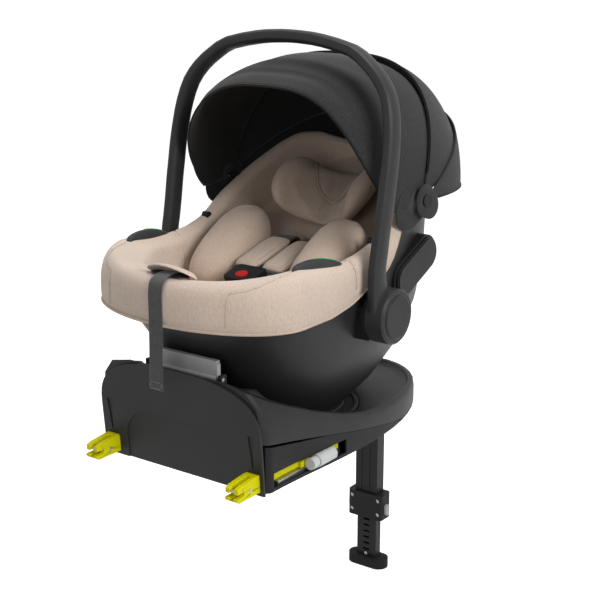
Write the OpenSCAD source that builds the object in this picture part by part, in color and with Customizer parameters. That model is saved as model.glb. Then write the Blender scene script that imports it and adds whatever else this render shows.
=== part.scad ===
// Infant car seat: a carrier with canopy and carry handle, clipped on a
// swivel base that has two extending anchor arms and a folding support leg.
// The origin is the midpoint of the line through the two vehicle anchor bars
// that the arms grip. +X is across the seat, +Y runs from the vehicle's
// backrest towards the support leg, and +Z is up.

/* [Base] */
// Half width of the base at its front wall
wall_half = 163; // [150:1:175]
// Half width of the round part of the base
bowl_half = 174; // [165:1:185]
// Distance from the anchor line to the foot of the front wall
wall_y = 40; // [36:1:46]
// Distance from the anchor line to the round end of the base
base_end = 605; // [595:1:625]
// Level of the base's underside
base_bottom = -14; // [-16:1:-12]
// Height of the front wall's top edge
wall_top = 158; // [152:1:162]
// Lean of the front wall towards the vehicle's backrest, in degrees
wall_lean = 5; // [3:0.5:6]
// Thickness of moulded covers
skin = 3; // [2.5:0.5:3.5]
// Half width of the arched recess in the front wall
recess_half = 110; // [95:1:114]
// Height of the arched recess in the front wall
recess_top = 70; // [60:1:76]

/* [Anchor arms] */
// Distance between the centres of the two anchor arms
anchor_pitch = 280; // [278:1:282]
// Radius of the vehicle's anchor bar
anchor_bar_r = 3; // [2.8:0.1:3.2]
// Radial clearance of the anchor bar in its throat
bar_clear = 0.1; // [0.05:0.05:0.3]
// Width of an anchor connector
arm_w = 24; // [22:0.5:26]
// Height of an anchor connector at the wall
arm_h = 28; // [26:0.5:30]
// Length of each arm behind the anchor line
arm_len = 236; // [225:1:240]
// How far the arms extend from their stored place
arm_travel = 80; // [50:1:85]
// Length of the release grip on each arm
grip_len = 60; // [56:1:66]
// Travel of the release grip
grip_travel = 8; // [5:1:9]

/* [Swivel] */
// Distance from the anchor line to the swivel axis
swivel_y = 330; // [325:1:335]
// Radius of the turntable
table_r = 112; // [100:1:118]
// Thickness of the turntable
table_t = 8; // [6:1:9]
// Level of the turntable's underside
table_z = 8; // [7:0.5:9]
// Radius of the swivel's centre pivot
pivot_r = 18; // [14:1:22]
// Radial running clearance of the swivel pivot
pivot_clear = 0.08; // [0.03:0.01:0.1]

/* [Support leg] */
// Distance from the anchor line to the leg
leg_y = 578; // [572:1:582]
// Height of the leg's fold hinge
leg_hinge_z = -34; // [-38:1:-32]
// Width of the outer leg tube
leg_w = 48; // [44:1:52]
// Depth of the outer leg tube
leg_d = 23; // [21:0.5:24]
// Wall of both leg tubes
leg_wall = 2.5; // [2:0.5:3]
// Level of the lower end of the outer tube
leg_outer_end = -246; // [-256:1:-236]
// Level of the sole of the foot
sole_z = -392; // [-400:1:-388]
// Length of the foot plate across the seat
foot_w = 82; // [76:1:92]
// Depth of the foot plate
foot_d = 38; // [34:1:42]
// Spacing of the height slots in the inner tube
slot_pitch = 12.5; // [12:0.5:13]
// Number of height slots in the inner tube
slot_count = 6; // [4:1:6]
// Radius of the leg's hinge pin
leg_pin_r = 4; // [3.5:0.1:4.5]

/* [Carrier shell] */
// Half width of the carrier shell below its rim
shell_half = 183; // [180:1:184]
// Distance from the anchor line to the foot end of the shell
shell_foot = 16; // [14:1:22]
// Distance from the anchor line to the head end of the shell
shell_head = 612; // [606:1:620]
// Level of the carrier's underside
shell_bottom = 20; // [19:0.5:22]
// Wall thickness of the carrier shell
shell_t = 4; // [3.5:0.5:4.5]

/* [Seat cover] */
// Half width of the padded rim
cover_half = 189; // [188:1:190]

/* [Handle] */
// Distance from the anchor line to the handle's axis
hub_y = 291; // [286:1:296]
// Height of the handle's axis
hub_z = 213; // [208:1:218]
// Radius of the handle hubs
hub_r = 44; // [40:1:46]
// Width of a handle hub across the seat
hub_w = 32.5; // [30:0.5:34]
// Thickness of the round part of a hub mount
mount_w = 6.9; // [6:0.1:8]
// Height of the handle's top bar above the handle axis
handle_rise = 415; // [410:1:425]
// Lean of the handle towards the head end, in degrees
handle_lean = 10.8; // [9:0.2:12]
// Thickness of the handle across the grip
grip_t = 21; // [19:0.5:23]
// Width of the handle along the seat
grip_w = 33; // [30:0.5:35]
// Radius of the handle's pivot stubs
hub_pin_r = 12; // [10:0.5:14]
// Radius of the round button in each hub
hub_button_r = 36; // [32:0.5:37]
// Travel of the hub buttons
hub_button_travel = 4; // [3:0.5:5]

/* [Canopy] */
// Distance from the anchor line to the canopy's axis
hood_y = 412; // [408:1:416]
// Height of the canopy's axis
hood_z = 374; // [370:1:378]
// Radius of the canopy's front section
visor_r = 232; // [228:1:234]
// Radius of the canopy's middle section at its rear edge
mid_r = 262; // [256:1:263]
// Radius of the canopy's rear section
rear_r = 266; // [262:1:270]
// Thickness of the canopy sections
hood_t = 2.5; // [2:0.5:3]
// Half width over the canopy's front section
visor_half = 193.5; // [192:0.5:194]

/* [Harness and insert] */
// Width of the harness webbing
webbing_w = 38; // [30:1:40]
// Radius of the curve of the headrest's back
headrest_r = 118; // [114:1:119]
// Height of the headrest
headrest_h = 146; // [130:1:150]

/* [Hidden] */
$fn = 64;
eps = 0.01;
fine = 48;                       // points around a lofted ring

// ---- helpers ---------------------------------------------------------------
function power(v, e) = sign(v) * pow(abs(v), e);
function mix(a, b, t) = a + (b - a) * t;
function ramp(v, lo, hi) = let (t = min(1, max(0, (v - lo) / (hi - lo)))) t * t * (3 - 2 * t);

// One ring of a loft: a superellipse between y0 and y1, half width a, with
// exponents n0 towards y0 and n1 towards y1. Heights are added by the caller.
function ring_xy(a, y0, y1, yc, n0, n1) = [
    for (i = [0 : fine - 1])
        let (t = 360 * i / fine, n = sin(t) < 0 ? n0 : n1, b = sin(t) < 0 ? yc - y0 : y1 - yc)
            [a * power(cos(t), 2 / n), yc + b * power(sin(t), 2 / n)]
];

// Solid skinned over rings of equal point counts, with both ends closed by a
// fan, or joined end to end when looped.
module loft(rings, looped = false) {
    m = len(rings);
    n = len(rings[0]);
    body = [for (r = rings) for (p = r) p];
    ends = looped ? [] : [mean(rings[0]), mean(rings[m - 1])];
    last = looped ? m - 1 : m - 2;
    side = [
        for (j = [0 : last]) for (i = [0 : n - 1])
            let (k = (i + 1) % n, a = j * n, b = ((j + 1) % m) * n)
                each [[a + i, b + i, a + k], [a + k, b + i, b + k]]
    ];
    caps = looped ? [] : [
        for (i = [0 : n - 1])
            let (k = (i + 1) % n, z = (m - 1) * n)
                each [[m * n, i, k], [m * n + 1, z + k, z + i]]
    ];
    polyhedron(concat(body, ends), concat(side, caps), convexity = 8);
}
function mean(r) = [for (k = [0 : 2]) sum([for (p = r) p[k]]) / len(r)];
function sum(v, i = 0) = i >= len(v) ? 0 : v[i] + sum(v, i + 1);

// A soft closed form: a superellipsoid with half sizes s and squareness e.
module cushion(s, e = 2.6, rows = 8, around = 20) {
    loft([
        for (j = [0 : rows])
            let (v = mix(-87, 87, j / rows), c = power(cos(v), 2 / e), z = power(sin(v), 2 / e))
                [for (i = [0 : around - 1])
                    let (u = 360 * i / around)
                        [s[0] * c * power(cos(u), 2 / e), s[1] * c * power(sin(u), 2 / e), s[2] * z]]
    ]);
}

module rounded_plate(size, r) {
    union() {
        translate([-size[0] / 2 + r, -size[1] / 2, -size[2] / 2]) cube([size[0] - 2 * r, size[1], size[2]]);
        translate([-size[0] / 2, -size[1] / 2 + r, -size[2] / 2]) cube([size[0], size[1] - 2 * r, size[2]]);
        for (x = [-1, 1], y = [-1, 1])
            translate([x * (size[0] / 2 - r), y * (size[1] / 2 - r), 0])
                cylinder(h = size[2], r = r, center = true);
    }
}
module side(s) {
    if (s > 0) children();
    else mirror([1, 0, 0]) children();
}

// ---- base ------------------------------------------------------------------
base_mid = 300;                   // y where the base is widest
wall_t = 4;                       // thickness of the front wall
front_y = wall_y + wall_t + 0.3;  // front edge of the upper housing
corner_r = 12;                    // radius of the base's front corners in plan
side_y = [262, 226, 192, 160, 132, 108, 88, 70];
front_x = [122, 90, 70, 46, 16];
crest_z = [[25, wall_top], [46, 150], [60, 139], [103, 111], [157, 86], [216, 64], [276, 46.5],
           [307, 39], [339, 36], [407, 32], [490, 27], [base_end, 21]];
crest_in = [[40, 68], [60, 42], [103, 14], [157, 8], [base_end, 8]];
shoulder_z = [[25, 66], [60, 72], [103, 80], [157, 64], [216, 48], [276, 34],
              [339, 25], [490, 15], [base_end, 11]];
ridge_z = [[25, 70], [120, 50], [196, 35], [340, 6], [420, base_bottom + 4], [base_end, base_bottom + 4]];
ledge_z = [[45, 138], [70, 136], [103, 104], [157, 79], [216, 54], [276, 35], [339, 28],
           [407, 25], [490, 21], [base_end, 17]];
bowl_z = [[45, 134], [70, 132], [103, 96], [157, 70], [216, 46], [276, 28], [339, 22],
          [407, 20], [490, 18], [base_end, 15]];
function lean_y(z) = -(z + 6) * tan(wall_lean);
function side_x(y) = mix(wall_half, bowl_half, ramp(y, 60, 280));
function front_half(inset, front) = let (r = max(2, corner_r - inset)) concat(
    [[side_x(base_mid) - inset, base_mid]],
    [for (y = side_y) [side_x(y) - inset, y]],
    [for (t = [0, 30, 60]) [side_x(60) - inset - r + r * cos(t), front + r - r * sin(t)]],
    [for (x = front_x) [x * (wall_half - inset) / wall_half, front]]
);
function plan_ring(inset, front) = let (h = front_half(inset, front), n = len(h)) concat(
    [for (i = [0 : 23]) let (t = 180 * i / 24)
        [(bowl_half - inset) * power(cos(t), 2 / 2.15),
         base_mid + (base_end - inset - base_mid) * power(sin(t), 2 / 2.15)]],
    [for (p = h) [-p[0], p[1]]],
    [for (i = [n - 1 : -1 : 1]) h[i]]
);
function leant(p, z) = [p[0], p[1] + lean_y(z) * (1 - ramp(p[1], 60, 140)), z];
function base_ring(inset, drop, zt) = [
    for (p = plan_ring(inset, front_y + inset)) leant(p, lookup(p[1], zt) - drop)
];
// Rings that roll from the shoulder (t = 0) over to the crest (t = 1).
function roll_ring(t, extra, zt, shift = 0) = [
    for (p = plan_ring(0, front_y))
        let (inset = (lookup(p[1], crest_in)) * (1 - power(cos(90 * t), 2 / 2.7)) + extra,
             half = side_x(p[1]), back = (p[1] - base_mid) / (base_end - base_mid),
             z = mix(lookup(p[1], shoulder_z), lookup(p[1], zt), power(sin(90 * t), 2 / 2.7)),
             q = [p[0] * (half - inset) / half,
                  p[1] + (back > 0 ? -inset * back : shift * (1 - ramp(p[1], front_y, 120)))])
            leant(q, z)
];
function bowl_ring(a, front, back, z) = [
    for (p = plan_ring(0, front_y))
        let (n = 2.15, t = atan2(p[1] - base_mid, p[0] * 1.4), b = sin(t) < 0 ? base_mid - front : back - base_mid)
            [a * power(cos(t), 2 / n), base_mid + b * power(sin(t), 2 / n), z]
];
lug_x = 72;                       // centres of the lugs that carry the release bar
module base_shell() {
    color([0.13, 0.13, 0.135])
        difference() {
            union() {
                loft([
                    base_ring(skin, 0, ridge_z),
                    base_ring(0, 0, ridge_z),
                    roll_ring(0, 0, crest_z),
                    roll_ring(0.35, 0, crest_z),
                    roll_ring(0.7, 0, crest_z),
                    roll_ring(1, 0, crest_z),
                    roll_ring(1, 3, crest_z, 3),
                    roll_ring(1, 6, ledge_z, 6),
                    roll_ring(1, 13, bowl_z, 26),
                    bowl_ring(148, 150, 500, 19),
                    bowl_ring(table_r + 8, swivel_y - table_r - 8, swivel_y + table_r + 8, table_z + 6),
                    bowl_ring(table_r + 3, swivel_y - table_r - 3, swivel_y + table_r + 3, table_z + 2),
                    bowl_ring(table_r + 3, swivel_y - table_r - 3, swivel_y + table_r + 3, table_z - skin),
                    bowl_ring(150, 144, 503, 14),
                    [for (p = roll_ring(1, 15, bowl_z, 22)) [p[0], p[1], p[2] - 4]],
                    [for (p = roll_ring(0.7, skin, ledge_z, 5)) [p[0], p[1], p[2] - 4]],
                    [for (p = roll_ring(0, skin, crest_z, 4)) p],
                ], looped = true);
                // lugs for the release bar's pin
                for (s = [-1, 1])
                    translate([s * lug_x - 2.5, bar_y - 7, bar_z - 30]) cube([5, 14, 23]);
            }
            translate([0, bar_y, bar_z - 14]) rotate([0, 90, 0]) {
                cylinder(h = 2 * lug_x + 40, r = 3.02, center = true);
                cylinder(h = 2 * lug_x - 5.6, r = 7.4, center = true);
            }
            translate([0, swivel_y, table_z - 2 * skin]) cylinder(h = 60, r = table_r + 1);
        }
}

// Plan outline of the lower housing, inset from the upper one.
module pan_plan(inset) {
    polygon(plan_ring(inset, wall_y + 5 + inset));
}
// Side view of the lower housing: level underside, sloping top edge.
module pan_profile(drop, floor_z, dip) {
    rotate([90, 0, 90])
        translate([0, 0, -200])
            linear_extrude(400)
                polygon(concat(
                    [[20, floor_z], [base_end + 10, floor_z]],
                    [for (i = [len(ridge_z) - 1 : -1 : 0])
                        [ridge_z[i][0], ridge_z[i][1] - drop - dip * (1 - ramp(ridge_z[i][0], 60, 196))]],
                    [[20, ridge_z[0][1] - drop - dip]]
                ));
}
slot_y0 = 60;                     // front end of the side slots
grip_y = slot_y0 + arm_travel + 3;
slot_y1 = grip_y + grip_len + grip_travel + 27;
slot_z0 = -8;
slot_z1 = 15;
module base_pan() {
    color([0.1, 0.1, 0.105])
        difference() {
            intersection() {
                translate([0, 0, base_bottom - 1]) linear_extrude(100) pan_plan(0);
                pan_profile(0.4, base_bottom, 6);
            }
            intersection() {
                translate([0, 0, base_bottom + skin]) linear_extrude(100) pan_plan(skin);
                pan_profile(-40, base_bottom + skin, 0);
            }
            // openings for the anchor arms in the front and for the grips in the sides
            for (s = [-1, 1]) {
                translate([s * anchor_pitch / 2 - arm_w / 2 - 2, wall_y - 5, arm_z0 - 2])
                    cube([arm_w + 4, 20, arm_h + 4]);
                translate([s > 0 ? wall_half - 12 : -wall_half - 18, slot_y0, slot_z0])
                    cube([30, slot_y1 - slot_y0, slot_z1 - slot_z0]);
            }
        }
}
module wall_outline(inset) {
    top0 = 66;
    polygon(concat(
        [[-(wall_half - 4), -17], [wall_half - 4, -17]],
        [for (t = [0 : 6 : 180])
            [(wall_half - inset) * power(cos(t), 2 / 2.7), top0 + (wall_top - inset - top0) * power(sin(t), 2 / 2.7)]]
    ));
}
module base_wall() {
    t = wall_t;
    recess = 2;
    color([0.12, 0.12, 0.125])
        translate([0, wall_y, -6])
            rotate([90 + wall_lean, 0, 0])
                translate([0, 6, -t])
                    difference() {
                        linear_extrude(t) wall_outline(4);
                        // arched recess
                        translate([0, 0, t - recess])
                            linear_extrude(recess + 1)
                                union() {
                                    translate([-recess_half, -30]) square([2 * recess_half, recess_top - 50 + 30]);
                                    translate([-recess_half + 50, -30]) square([2 * recess_half - 100, recess_top + 30]);
                                    for (s = [-1, 1]) translate([s * (recess_half - 50), recess_top - 50]) circle(50);
                                }
                        for (s = [-1, 1]) {
                            // connector openings
                            translate([s * anchor_pitch / 2 - arm_w / 2 - 1, arm_z0 - 1, -1])
                                cube([arm_w + 2, arm_h + 2, t + 2]);
                            // tapered slots above the connectors
                            translate([0, 0, t - recess])
                                linear_extrude(recess + 1)
                                    polygon([[s * 135, 78], [s * 147, 78], [s * 142, 26], [s * 140, 26]]);
                        }
                    }
}
arm_z0 = base_bottom + skin + 0.3; // underside of a connector
bar_z0 = -3;                      // underside of the arm bar
bar_h = 17;                       // height of the arm bar in front of the grip
tail_h = 10;                      // height of the arm bar's tail under the bowl
bar_out = wall_half - skin - 1.6; // outer face of the arm bar's tail
rail_y = 76;                      // front end of the rails in the base
tail_y = grip_y - 8;
module arm(s) {
    cx = anchor_pitch / 2;
    side(s)
        difference() {
            union() {
                // jaws: a block whose top slopes down to the tip
                translate([cx - arm_w / 2, 0, 0])
                    rotate([90, 0, 90])
                        linear_extrude(arm_w)
                            polygon([[90, arm_z0], [-9, arm_z0], [-14, arm_z0 + 4], [-14, -4.5],
                                     [-12, 4.5], [-12, 11], [-4, 14], [wall_y - 12, arm_z0 + arm_h],
                                     [90, arm_z0 + arm_h]]);
                translate([cx - arm_w / 2, slot_y0, bar_z0]) cube([arm_w, tail_y - slot_y0 + 1, bar_h]);
                translate([cx - arm_w / 2, tail_y, bar_z0])
                    cube([bar_out - cx + arm_w / 2, arm_len - tail_y, tail_h]);
            }
            // throat for the anchor bar
            rotate([0, 90, 0]) cylinder(h = 400, r = anchor_bar_r + bar_clear, center = true);
            translate([0, -20, -anchor_bar_r - bar_clear]) cube([400, 20, 2 * (anchor_bar_r + bar_clear)]);
            // slot for the hook
            translate([cx - 4, -20, -9]) cube([8, 50, 40]);
            // hook pin bore
            translate([0, 18, 0]) rotate([0, 90, 0]) cylinder(h = 400, r = 3.05);
            // relief under the grip end and behind the wall
            translate([cx - arm_w / 2 - 1, 62, arm_z0 - 1]) cube([60, 200, bar_z0 - arm_z0 + 1]);
            translate([cx - arm_w / 2 - 1, 62, bar_z0 + bar_h]) cube([60, 60, 20]);
        }
}
module arm_left() { color([0.78, 0.82, 0.05]) arm(-1); }
module arm_right() { color([0.78, 0.82, 0.05]) arm(1); }
module latch_hook(s) {
    cx = anchor_pitch / 2;
    side(s)
        translate([cx - 3, 0, 0])
            difference() {
                union() {
                    rotate([90, 0, 90])
                        linear_extrude(6)
                            polygon([[24, -5], [24, 6], [2, 8.5], [-8, 8], [-9.5, 4.2], [-5, 5.4], [6, 5], [12, -5]]);
                }
                translate([-1, 18, 0]) rotate([0, 90, 0]) cylinder(h = 8, r = 3.05);
            }
    side(s)
        translate([cx - arm_w / 2, 18, 0]) rotate([0, 90, 0]) cylinder(h = arm_w, r = 3);
}
module latch_hook_left() { color([0.08, 0.08, 0.08]) latch_hook(-1); }
module latch_hook_right() { color([0.08, 0.08, 0.08]) latch_hook(1); }
grip_r = 10.5;
module arm_grip(s) {
    side(s)
        translate([bar_out + 0.4 + grip_r, grip_y, (slot_z0 + slot_z1) / 2])
            rotate([-90, 0, 0])
                union() {
                    cylinder(h = 14, r = grip_r - 1.2);
                    translate([0, 0, 14]) cylinder(h = 2, r = grip_r - 2.2);
                    translate([0, 0, 16]) cylinder(h = grip_len - 16, r = grip_r);
                }
}
module arm_grip_left() { color([0.72, 0.72, 0.73]) arm_grip(-1); }
module arm_grip_right() { color([0.72, 0.72, 0.73]) arm_grip(1); }
rail_x = anchor_pitch / 2 - arm_w / 2 - 4; // inner face of a rail
module arm_rails() {
    low = base_bottom + skin + 0.2;
    run = slot_y1 - rail_y + 2;
    color([0.3, 0.3, 0.31])
        for (s = [-1, 1]) side(s) {
            translate([rail_x, rail_y, low]) cube([wall_half - skin - 1 - rail_x, run, bar_z0 - 0.3 - low]);
            translate([rail_x, rail_y, low]) cube([3.6, run, bar_z0 + 7 - low]);
        }
}
module frame_crossbar() {
    r = 7;
    color([0.45, 0.45, 0.46])
        translate([0, swivel_y - bearing_r - r - 5, base_bottom + skin + r + 0.3])
            rotate([0, 90, 0])
                cylinder(h = 2 * rail_x - 0.4, r = r, center = true);
}
bar_y = 54;
bar_z = wall_top + 2;
module release_bar() {
    w = lug_x - 8;                // half width between the round ends' centres
    color([0.6, 0.6, 0.61])
        difference() {
            union() {
                translate([-w, bar_y - 4, bar_z - 12]) cube([2 * w, 8, 26]);
                for (s = [-1, 1])
                    translate([s * w, bar_y, bar_z - 12]) cylinder(h = 22, r = 4);
                translate([-w, bar_y, bar_z - 14]) rotate([0, 90, 0]) cylinder(h = 2 * w, r = 6);
            }
            translate([0, bar_y, bar_z - 14]) rotate([0, 90, 0]) cylinder(h = 300, r = 3.05, center = true);
        }
}
module release_bar_pin() {
    color([0.5, 0.5, 0.52])
        translate([0, bar_y, bar_z - 14])
            rotate([0, 90, 0]) cylinder(h = 2 * lug_x + 4, r = 3, center = true);
}

// ---- swivel ----------------------------------------------------------------
bearing_r = table_r - 12;         // outer radius of the swivel's bearing ring
module swivel_bearing() {
    color([0.35, 0.35, 0.36])
        translate([0, swivel_y, 0])
            union() {
                difference() {
                    translate([0, 0, base_bottom + skin + 0.2])
                        cylinder(h = table_z - 0.3 - base_bottom - skin - 0.2, r = bearing_r);
                    translate([0, 0, -50]) cylinder(h = 100, r = bearing_r - 28);
                }
                translate([0, 0, base_bottom + skin + 0.2])
                    cylinder(h = table_z + table_t - 1 - base_bottom - skin, r = pivot_r);
                translate([-bearing_r + 18, -8, base_bottom + skin + 0.2]) cube([2 * bearing_r - 36, 16, 6]);
            }
}
module turntable() {
    color([0.09, 0.09, 0.095])
        translate([0, swivel_y, table_z])
            difference() {
                cylinder(h = table_t, r = table_r);
                translate([0, 0, -1]) cylinder(h = table_t + 2, r = pivot_r + pivot_clear);
                // shallow crescent groove
                translate([0, 0, table_t - 2])
                    difference() {
                        cylinder(h = 3, r = table_r - 8);
                        translate([0, 0, -1]) cylinder(h = 5, r = table_r - 26);
                    }
            }
}
lock_y = [swivel_y - 75, swivel_y + 75];
lock_z = 29;
lock_r = 5;
module carrier_hooks() {
    color([0.4, 0.4, 0.42])
        for (y = lock_y, s = [-1, 1])
            translate([s * 48, y, table_z + table_t])
                difference() {
                    translate([-6, -12, 0.2]) cube([12, 24, 20]);
                    translate([-10, -lock_r - 0.4, lock_z - table_z - table_t]) cube([20, 2 * lock_r + 0.8, 30]);
                    translate([0, 0, lock_z - table_z - table_t])
                        rotate([0, 90, 0]) cylinder(h = 20, r = lock_r + 0.4, center = true);
                }
}

// ---- support leg -----------------------------------------------------------
module leg_bracket() {
    color([0.11, 0.11, 0.115])
        translate([0, leg_y, 0])
            difference() {
                union() {
                    for (s = [-1, 1])
                        translate([s * (leg_w / 2 + 4) - 3.5, -16, leg_hinge_z - 10])
                            cube([7, 32, base_bottom - leg_hinge_z + 9.8]);
                    translate([-leg_w / 2 - 7.5, -16, base_bottom - 3.2])
                        cube([leg_w + 15, 32, 3]);
                }
                translate([0, 0, leg_hinge_z]) rotate([0, 90, 0]) cylinder(h = 200, r = leg_pin_r + 0.02, center = true);
            }
}
module leg_hinge_pin() {
    color([0.5, 0.5, 0.52])
        translate([0, leg_y, leg_hinge_z])
            rotate([0, 90, 0]) cylinder(h = leg_w + 18, r = leg_pin_r, center = true);
}
module leg_outer_tube() {
    top = leg_hinge_z + 9;
    color([0.1, 0.1, 0.105])
        translate([0, leg_y, 0])
            difference() {
                translate([-leg_w / 2, -leg_d / 2, leg_outer_end]) cube([leg_w, leg_d, top - leg_outer_end]);
                translate([-leg_w / 2 + leg_wall, -leg_d / 2 + leg_wall, leg_outer_end - 1])
                    cube([leg_w - 2 * leg_wall, leg_d - 2 * leg_wall, top - leg_outer_end - 4]);
                translate([0, 0, leg_hinge_z]) rotate([0, 90, 0]) cylinder(h = 200, r = leg_pin_r + 0.05, center = true);
                // two shallow grooves down the front face
                for (s = [-1, 1])
                    translate([s * 9 - 2, -leg_d / 2 - 1, leg_outer_end - 1]) cube([4, 2, top - leg_outer_end - 20]);
            }
}
collar_h = 50;
collar_w = leg_w + 27;
collar_d = leg_d + 13;
collar_z = leg_outer_end - collar_h / 2 + 6;
inner_w = leg_w - 2 * leg_wall - 1;
inner_d = leg_d - 2 * leg_wall - 1;
button_z = collar_z - 6;
screw_x = collar_w / 2 - 9;
screw_z = collar_h / 2 - 11;
module leg_collar() {
    color([0.09, 0.09, 0.095])
        translate([0, leg_y, collar_z])
            difference() {
                rounded_plate([collar_w, collar_d, collar_h], 8);
                // seat for the outer tube, then a passage for the inner one
                translate([-leg_w / 2 - 0.2, -leg_d / 2 - 0.2, collar_h / 2 - 6.2]) cube([leg_w + 0.4, leg_d + 0.4, 10]);
                translate([-inner_w / 2 - 0.4, -inner_d / 2 - 0.4, -collar_h]) cube([inner_w + 0.8, inner_d + 0.8, 2 * collar_h]);
                for (s = [-1, 1]) {
                    translate([s * (collar_w / 2), 0, button_z - collar_z]) button_shape(18, 0.3);
                    for (z = [-1, 1])
                        translate([s * screw_x, -collar_d / 2 - 1, z * screw_z])
                            rotate([-90, 0, 0]) cylinder(h = 5, r = 4);
                }
            }
}
// Upright oval button body with its axis across the seat.
module button_shape(depth, grow) {
    for (z = [-1, 1])
        translate([0, 0, z * 5]) rotate([0, 90, 0]) cylinder(h = depth, r = 6 + grow, center = true);
    cube([depth, 12 + 2 * grow, 10], center = true);
}
module leg_collar_screws() {
    color([0.25, 0.25, 0.26])
        for (s = [-1, 1], z = [-1, 1])
            translate([s * screw_x, leg_y - collar_d / 2 + 2, collar_z + z * screw_z])
                rotate([-90, 0, 0])
                    difference() {
                        cylinder(h = 1.9, r = 3.8);
                        translate([0, 0, -1]) cylinder(h = 2, r = 1.8, $fn = 6);
                    }
}
module leg_button(s) {
    color([0.68, 0.68, 0.69])
        side(s)
            translate([collar_w / 2 + 0.5, leg_y, button_z]) button_shape(8, 0);
}
module leg_button_left() { leg_button(-1); }
module leg_button_right() { leg_button(1); }
foot_t = 18;
inner_top = leg_outer_end + 130;
module leg_inner_tube() {
    bottom = sole_z + foot_t - 4;
    color([0.12, 0.12, 0.125])
        translate([0, leg_y, 0])
            difference() {
                translate([-inner_w / 2, -inner_d / 2, bottom]) cube([inner_w, inner_d, inner_top - bottom]);
                translate([-inner_w / 2 + leg_wall, -inner_d / 2 + leg_wall, bottom - 1])
                    cube([inner_w - 2 * leg_wall, inner_d - 2 * leg_wall, inner_top - bottom + 2]);
                for (i = [0 : slot_count - 1])
                    translate([-7, -inner_d / 2 - 1, bottom + 16 + i * slot_pitch]) cube([14, leg_wall + 2, 4]);
                translate([0, 0, bottom + 9]) rotate([90, 0, 0]) cylinder(h = 30, r = 3.3);
            }
}
module leg_lock_stud() {
    color([0.55, 0.55, 0.56])
        translate([0, leg_y - inner_d / 2 + leg_wall - 0.3, sole_z + foot_t + 5])
            rotate([90, 0, 0]) cylinder(h = leg_wall + 1.2, r = 3.2);
}
module leg_foot() {
    color([0.07, 0.07, 0.075])
        translate([0, leg_y, sole_z])
            difference() {
                union() {
                    for (s = [-1, 1])
                        translate([s * (foot_w - foot_d) / 2, 0, 0]) cylinder(h = foot_t, r = foot_d / 2);
                    translate([-(foot_w - foot_d) / 2, -foot_d / 2, 0]) cube([foot_w - foot_d, foot_d, foot_t]);
                }
                translate([-inner_w / 2 - 0.3, -inner_d / 2 - 0.3, foot_t - 4.3]) cube([inner_w + 0.6, inner_d + 0.6, 20]);
            }
}

// ---- carrier shell ---------------------------------------------------------
shell_a = [[20, 80], [45, 105], [90, 135], [140, 160], [190, 174], [235, shell_half - 2],
           [306, shell_half], [410, shell_half]];
shell_y0 = [[20, 205], [45, 165], [90, 120], [140, 85], [190, 56], [235, 24], [270, shell_foot], [410, shell_foot]];
shell_y1 = [[20, 470], [45, 500], [90, 552], [140, 574], [190, 588], [235, 599], [400, shell_head]];
shell_rim = [[0, 288], [110, 298], [218, 290], [312, 301], [353, 327], [412, 357], [500, 396],
             [532, 409], [560, 410], [600, 400], [630, 396]];
shell_mid = 300;
foot_n = 2.6;
foot_run = 0.64;                  // straight share of the foot half of the plan
head_n = 2.35;
shell_levels = [0, 0.09, 0.25, 0.43, 0.6, 0.8, 1];
// Plan of a ring in units of its half width and half lengths. The foot end
// goes from a superellipse (q = 0) to straight sides with a half ellipse (q = 1).
function plan_x(u, q) = sin(u) >= 0 ? power(cos(u), 2 / head_n)
    : let (s = 90 - abs(270 - u), x = s < 30 ? 1 : cos((s - 30) * 1.5))
        mix(power(cos(u), 2 / foot_n), (u < 270 ? -1 : 1) * x, q);
function plan_y(u, q) = sin(u) >= 0 ? power(sin(u), 2 / head_n)
    : let (s = 90 - abs(270 - u), y = s < 30 ? foot_run * s / 30 : mix(foot_run, 1, sin((s - 30) * 1.5)))
        mix(power(sin(u), 2 / foot_n), -y, q);
function carrier_ring(t, inset, lift = 0) = [
    for (i = [0 : fine - 1])
        let (u = 360 * i / fine, q = ramp(t, 0.5, 1),
             cx = plan_x(u, q), sy = plan_y(u, q),
             y = shell_mid + sy * (sy < 0 ? shell_mid - shell_foot : shell_head - shell_mid),
             z = mix(shell_bottom, lookup(y, shell_rim), t),
             a = lookup(z, shell_a) - inset,
             b = sy < 0 ? shell_mid - lookup(z, shell_y0) - inset : lookup(z, shell_y1) - inset - shell_mid)
            [a * cx, shell_mid + b * sy, z + lift]
];
module shell_body() {
    loft([for (t = shell_levels) carrier_ring(t, 0)]);
}
module shell_inside(gap) {
    rows = [for (t = shell_levels) carrier_ring(t, shell_t + gap)];
    loft(concat(
        [[for (p = rows[0]) [p[0], p[1], shell_bottom + shell_t]]],
        [for (i = [1 : len(rows) - 1]) rows[i]],
        [[for (p = rows[len(rows) - 1]) [p[0], p[1], p[2] + 100]]]
    ));
}
pod_y = 418;
pod_z = 262;
pod_half = 36;                    // half distance between the two end circles
pod_r = 27;
pod_tilt = 24;
pod_seat = 178;                   // x of the pod's seat in the shell
module pod_shape(h, grow) {
    rotate([pod_tilt, 0, 0]) rotate([0, 90, 0])
        union() {
            for (y = [-1, 1]) translate([0, y * pod_half, 0]) cylinder(h = h, r = pod_r + grow);
            translate([-pod_r - grow, -pod_half, 0]) cube([2 * (pod_r + grow), 2 * pod_half, h]);
        }
}
bar_pocket = [26, 42, 22];
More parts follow.
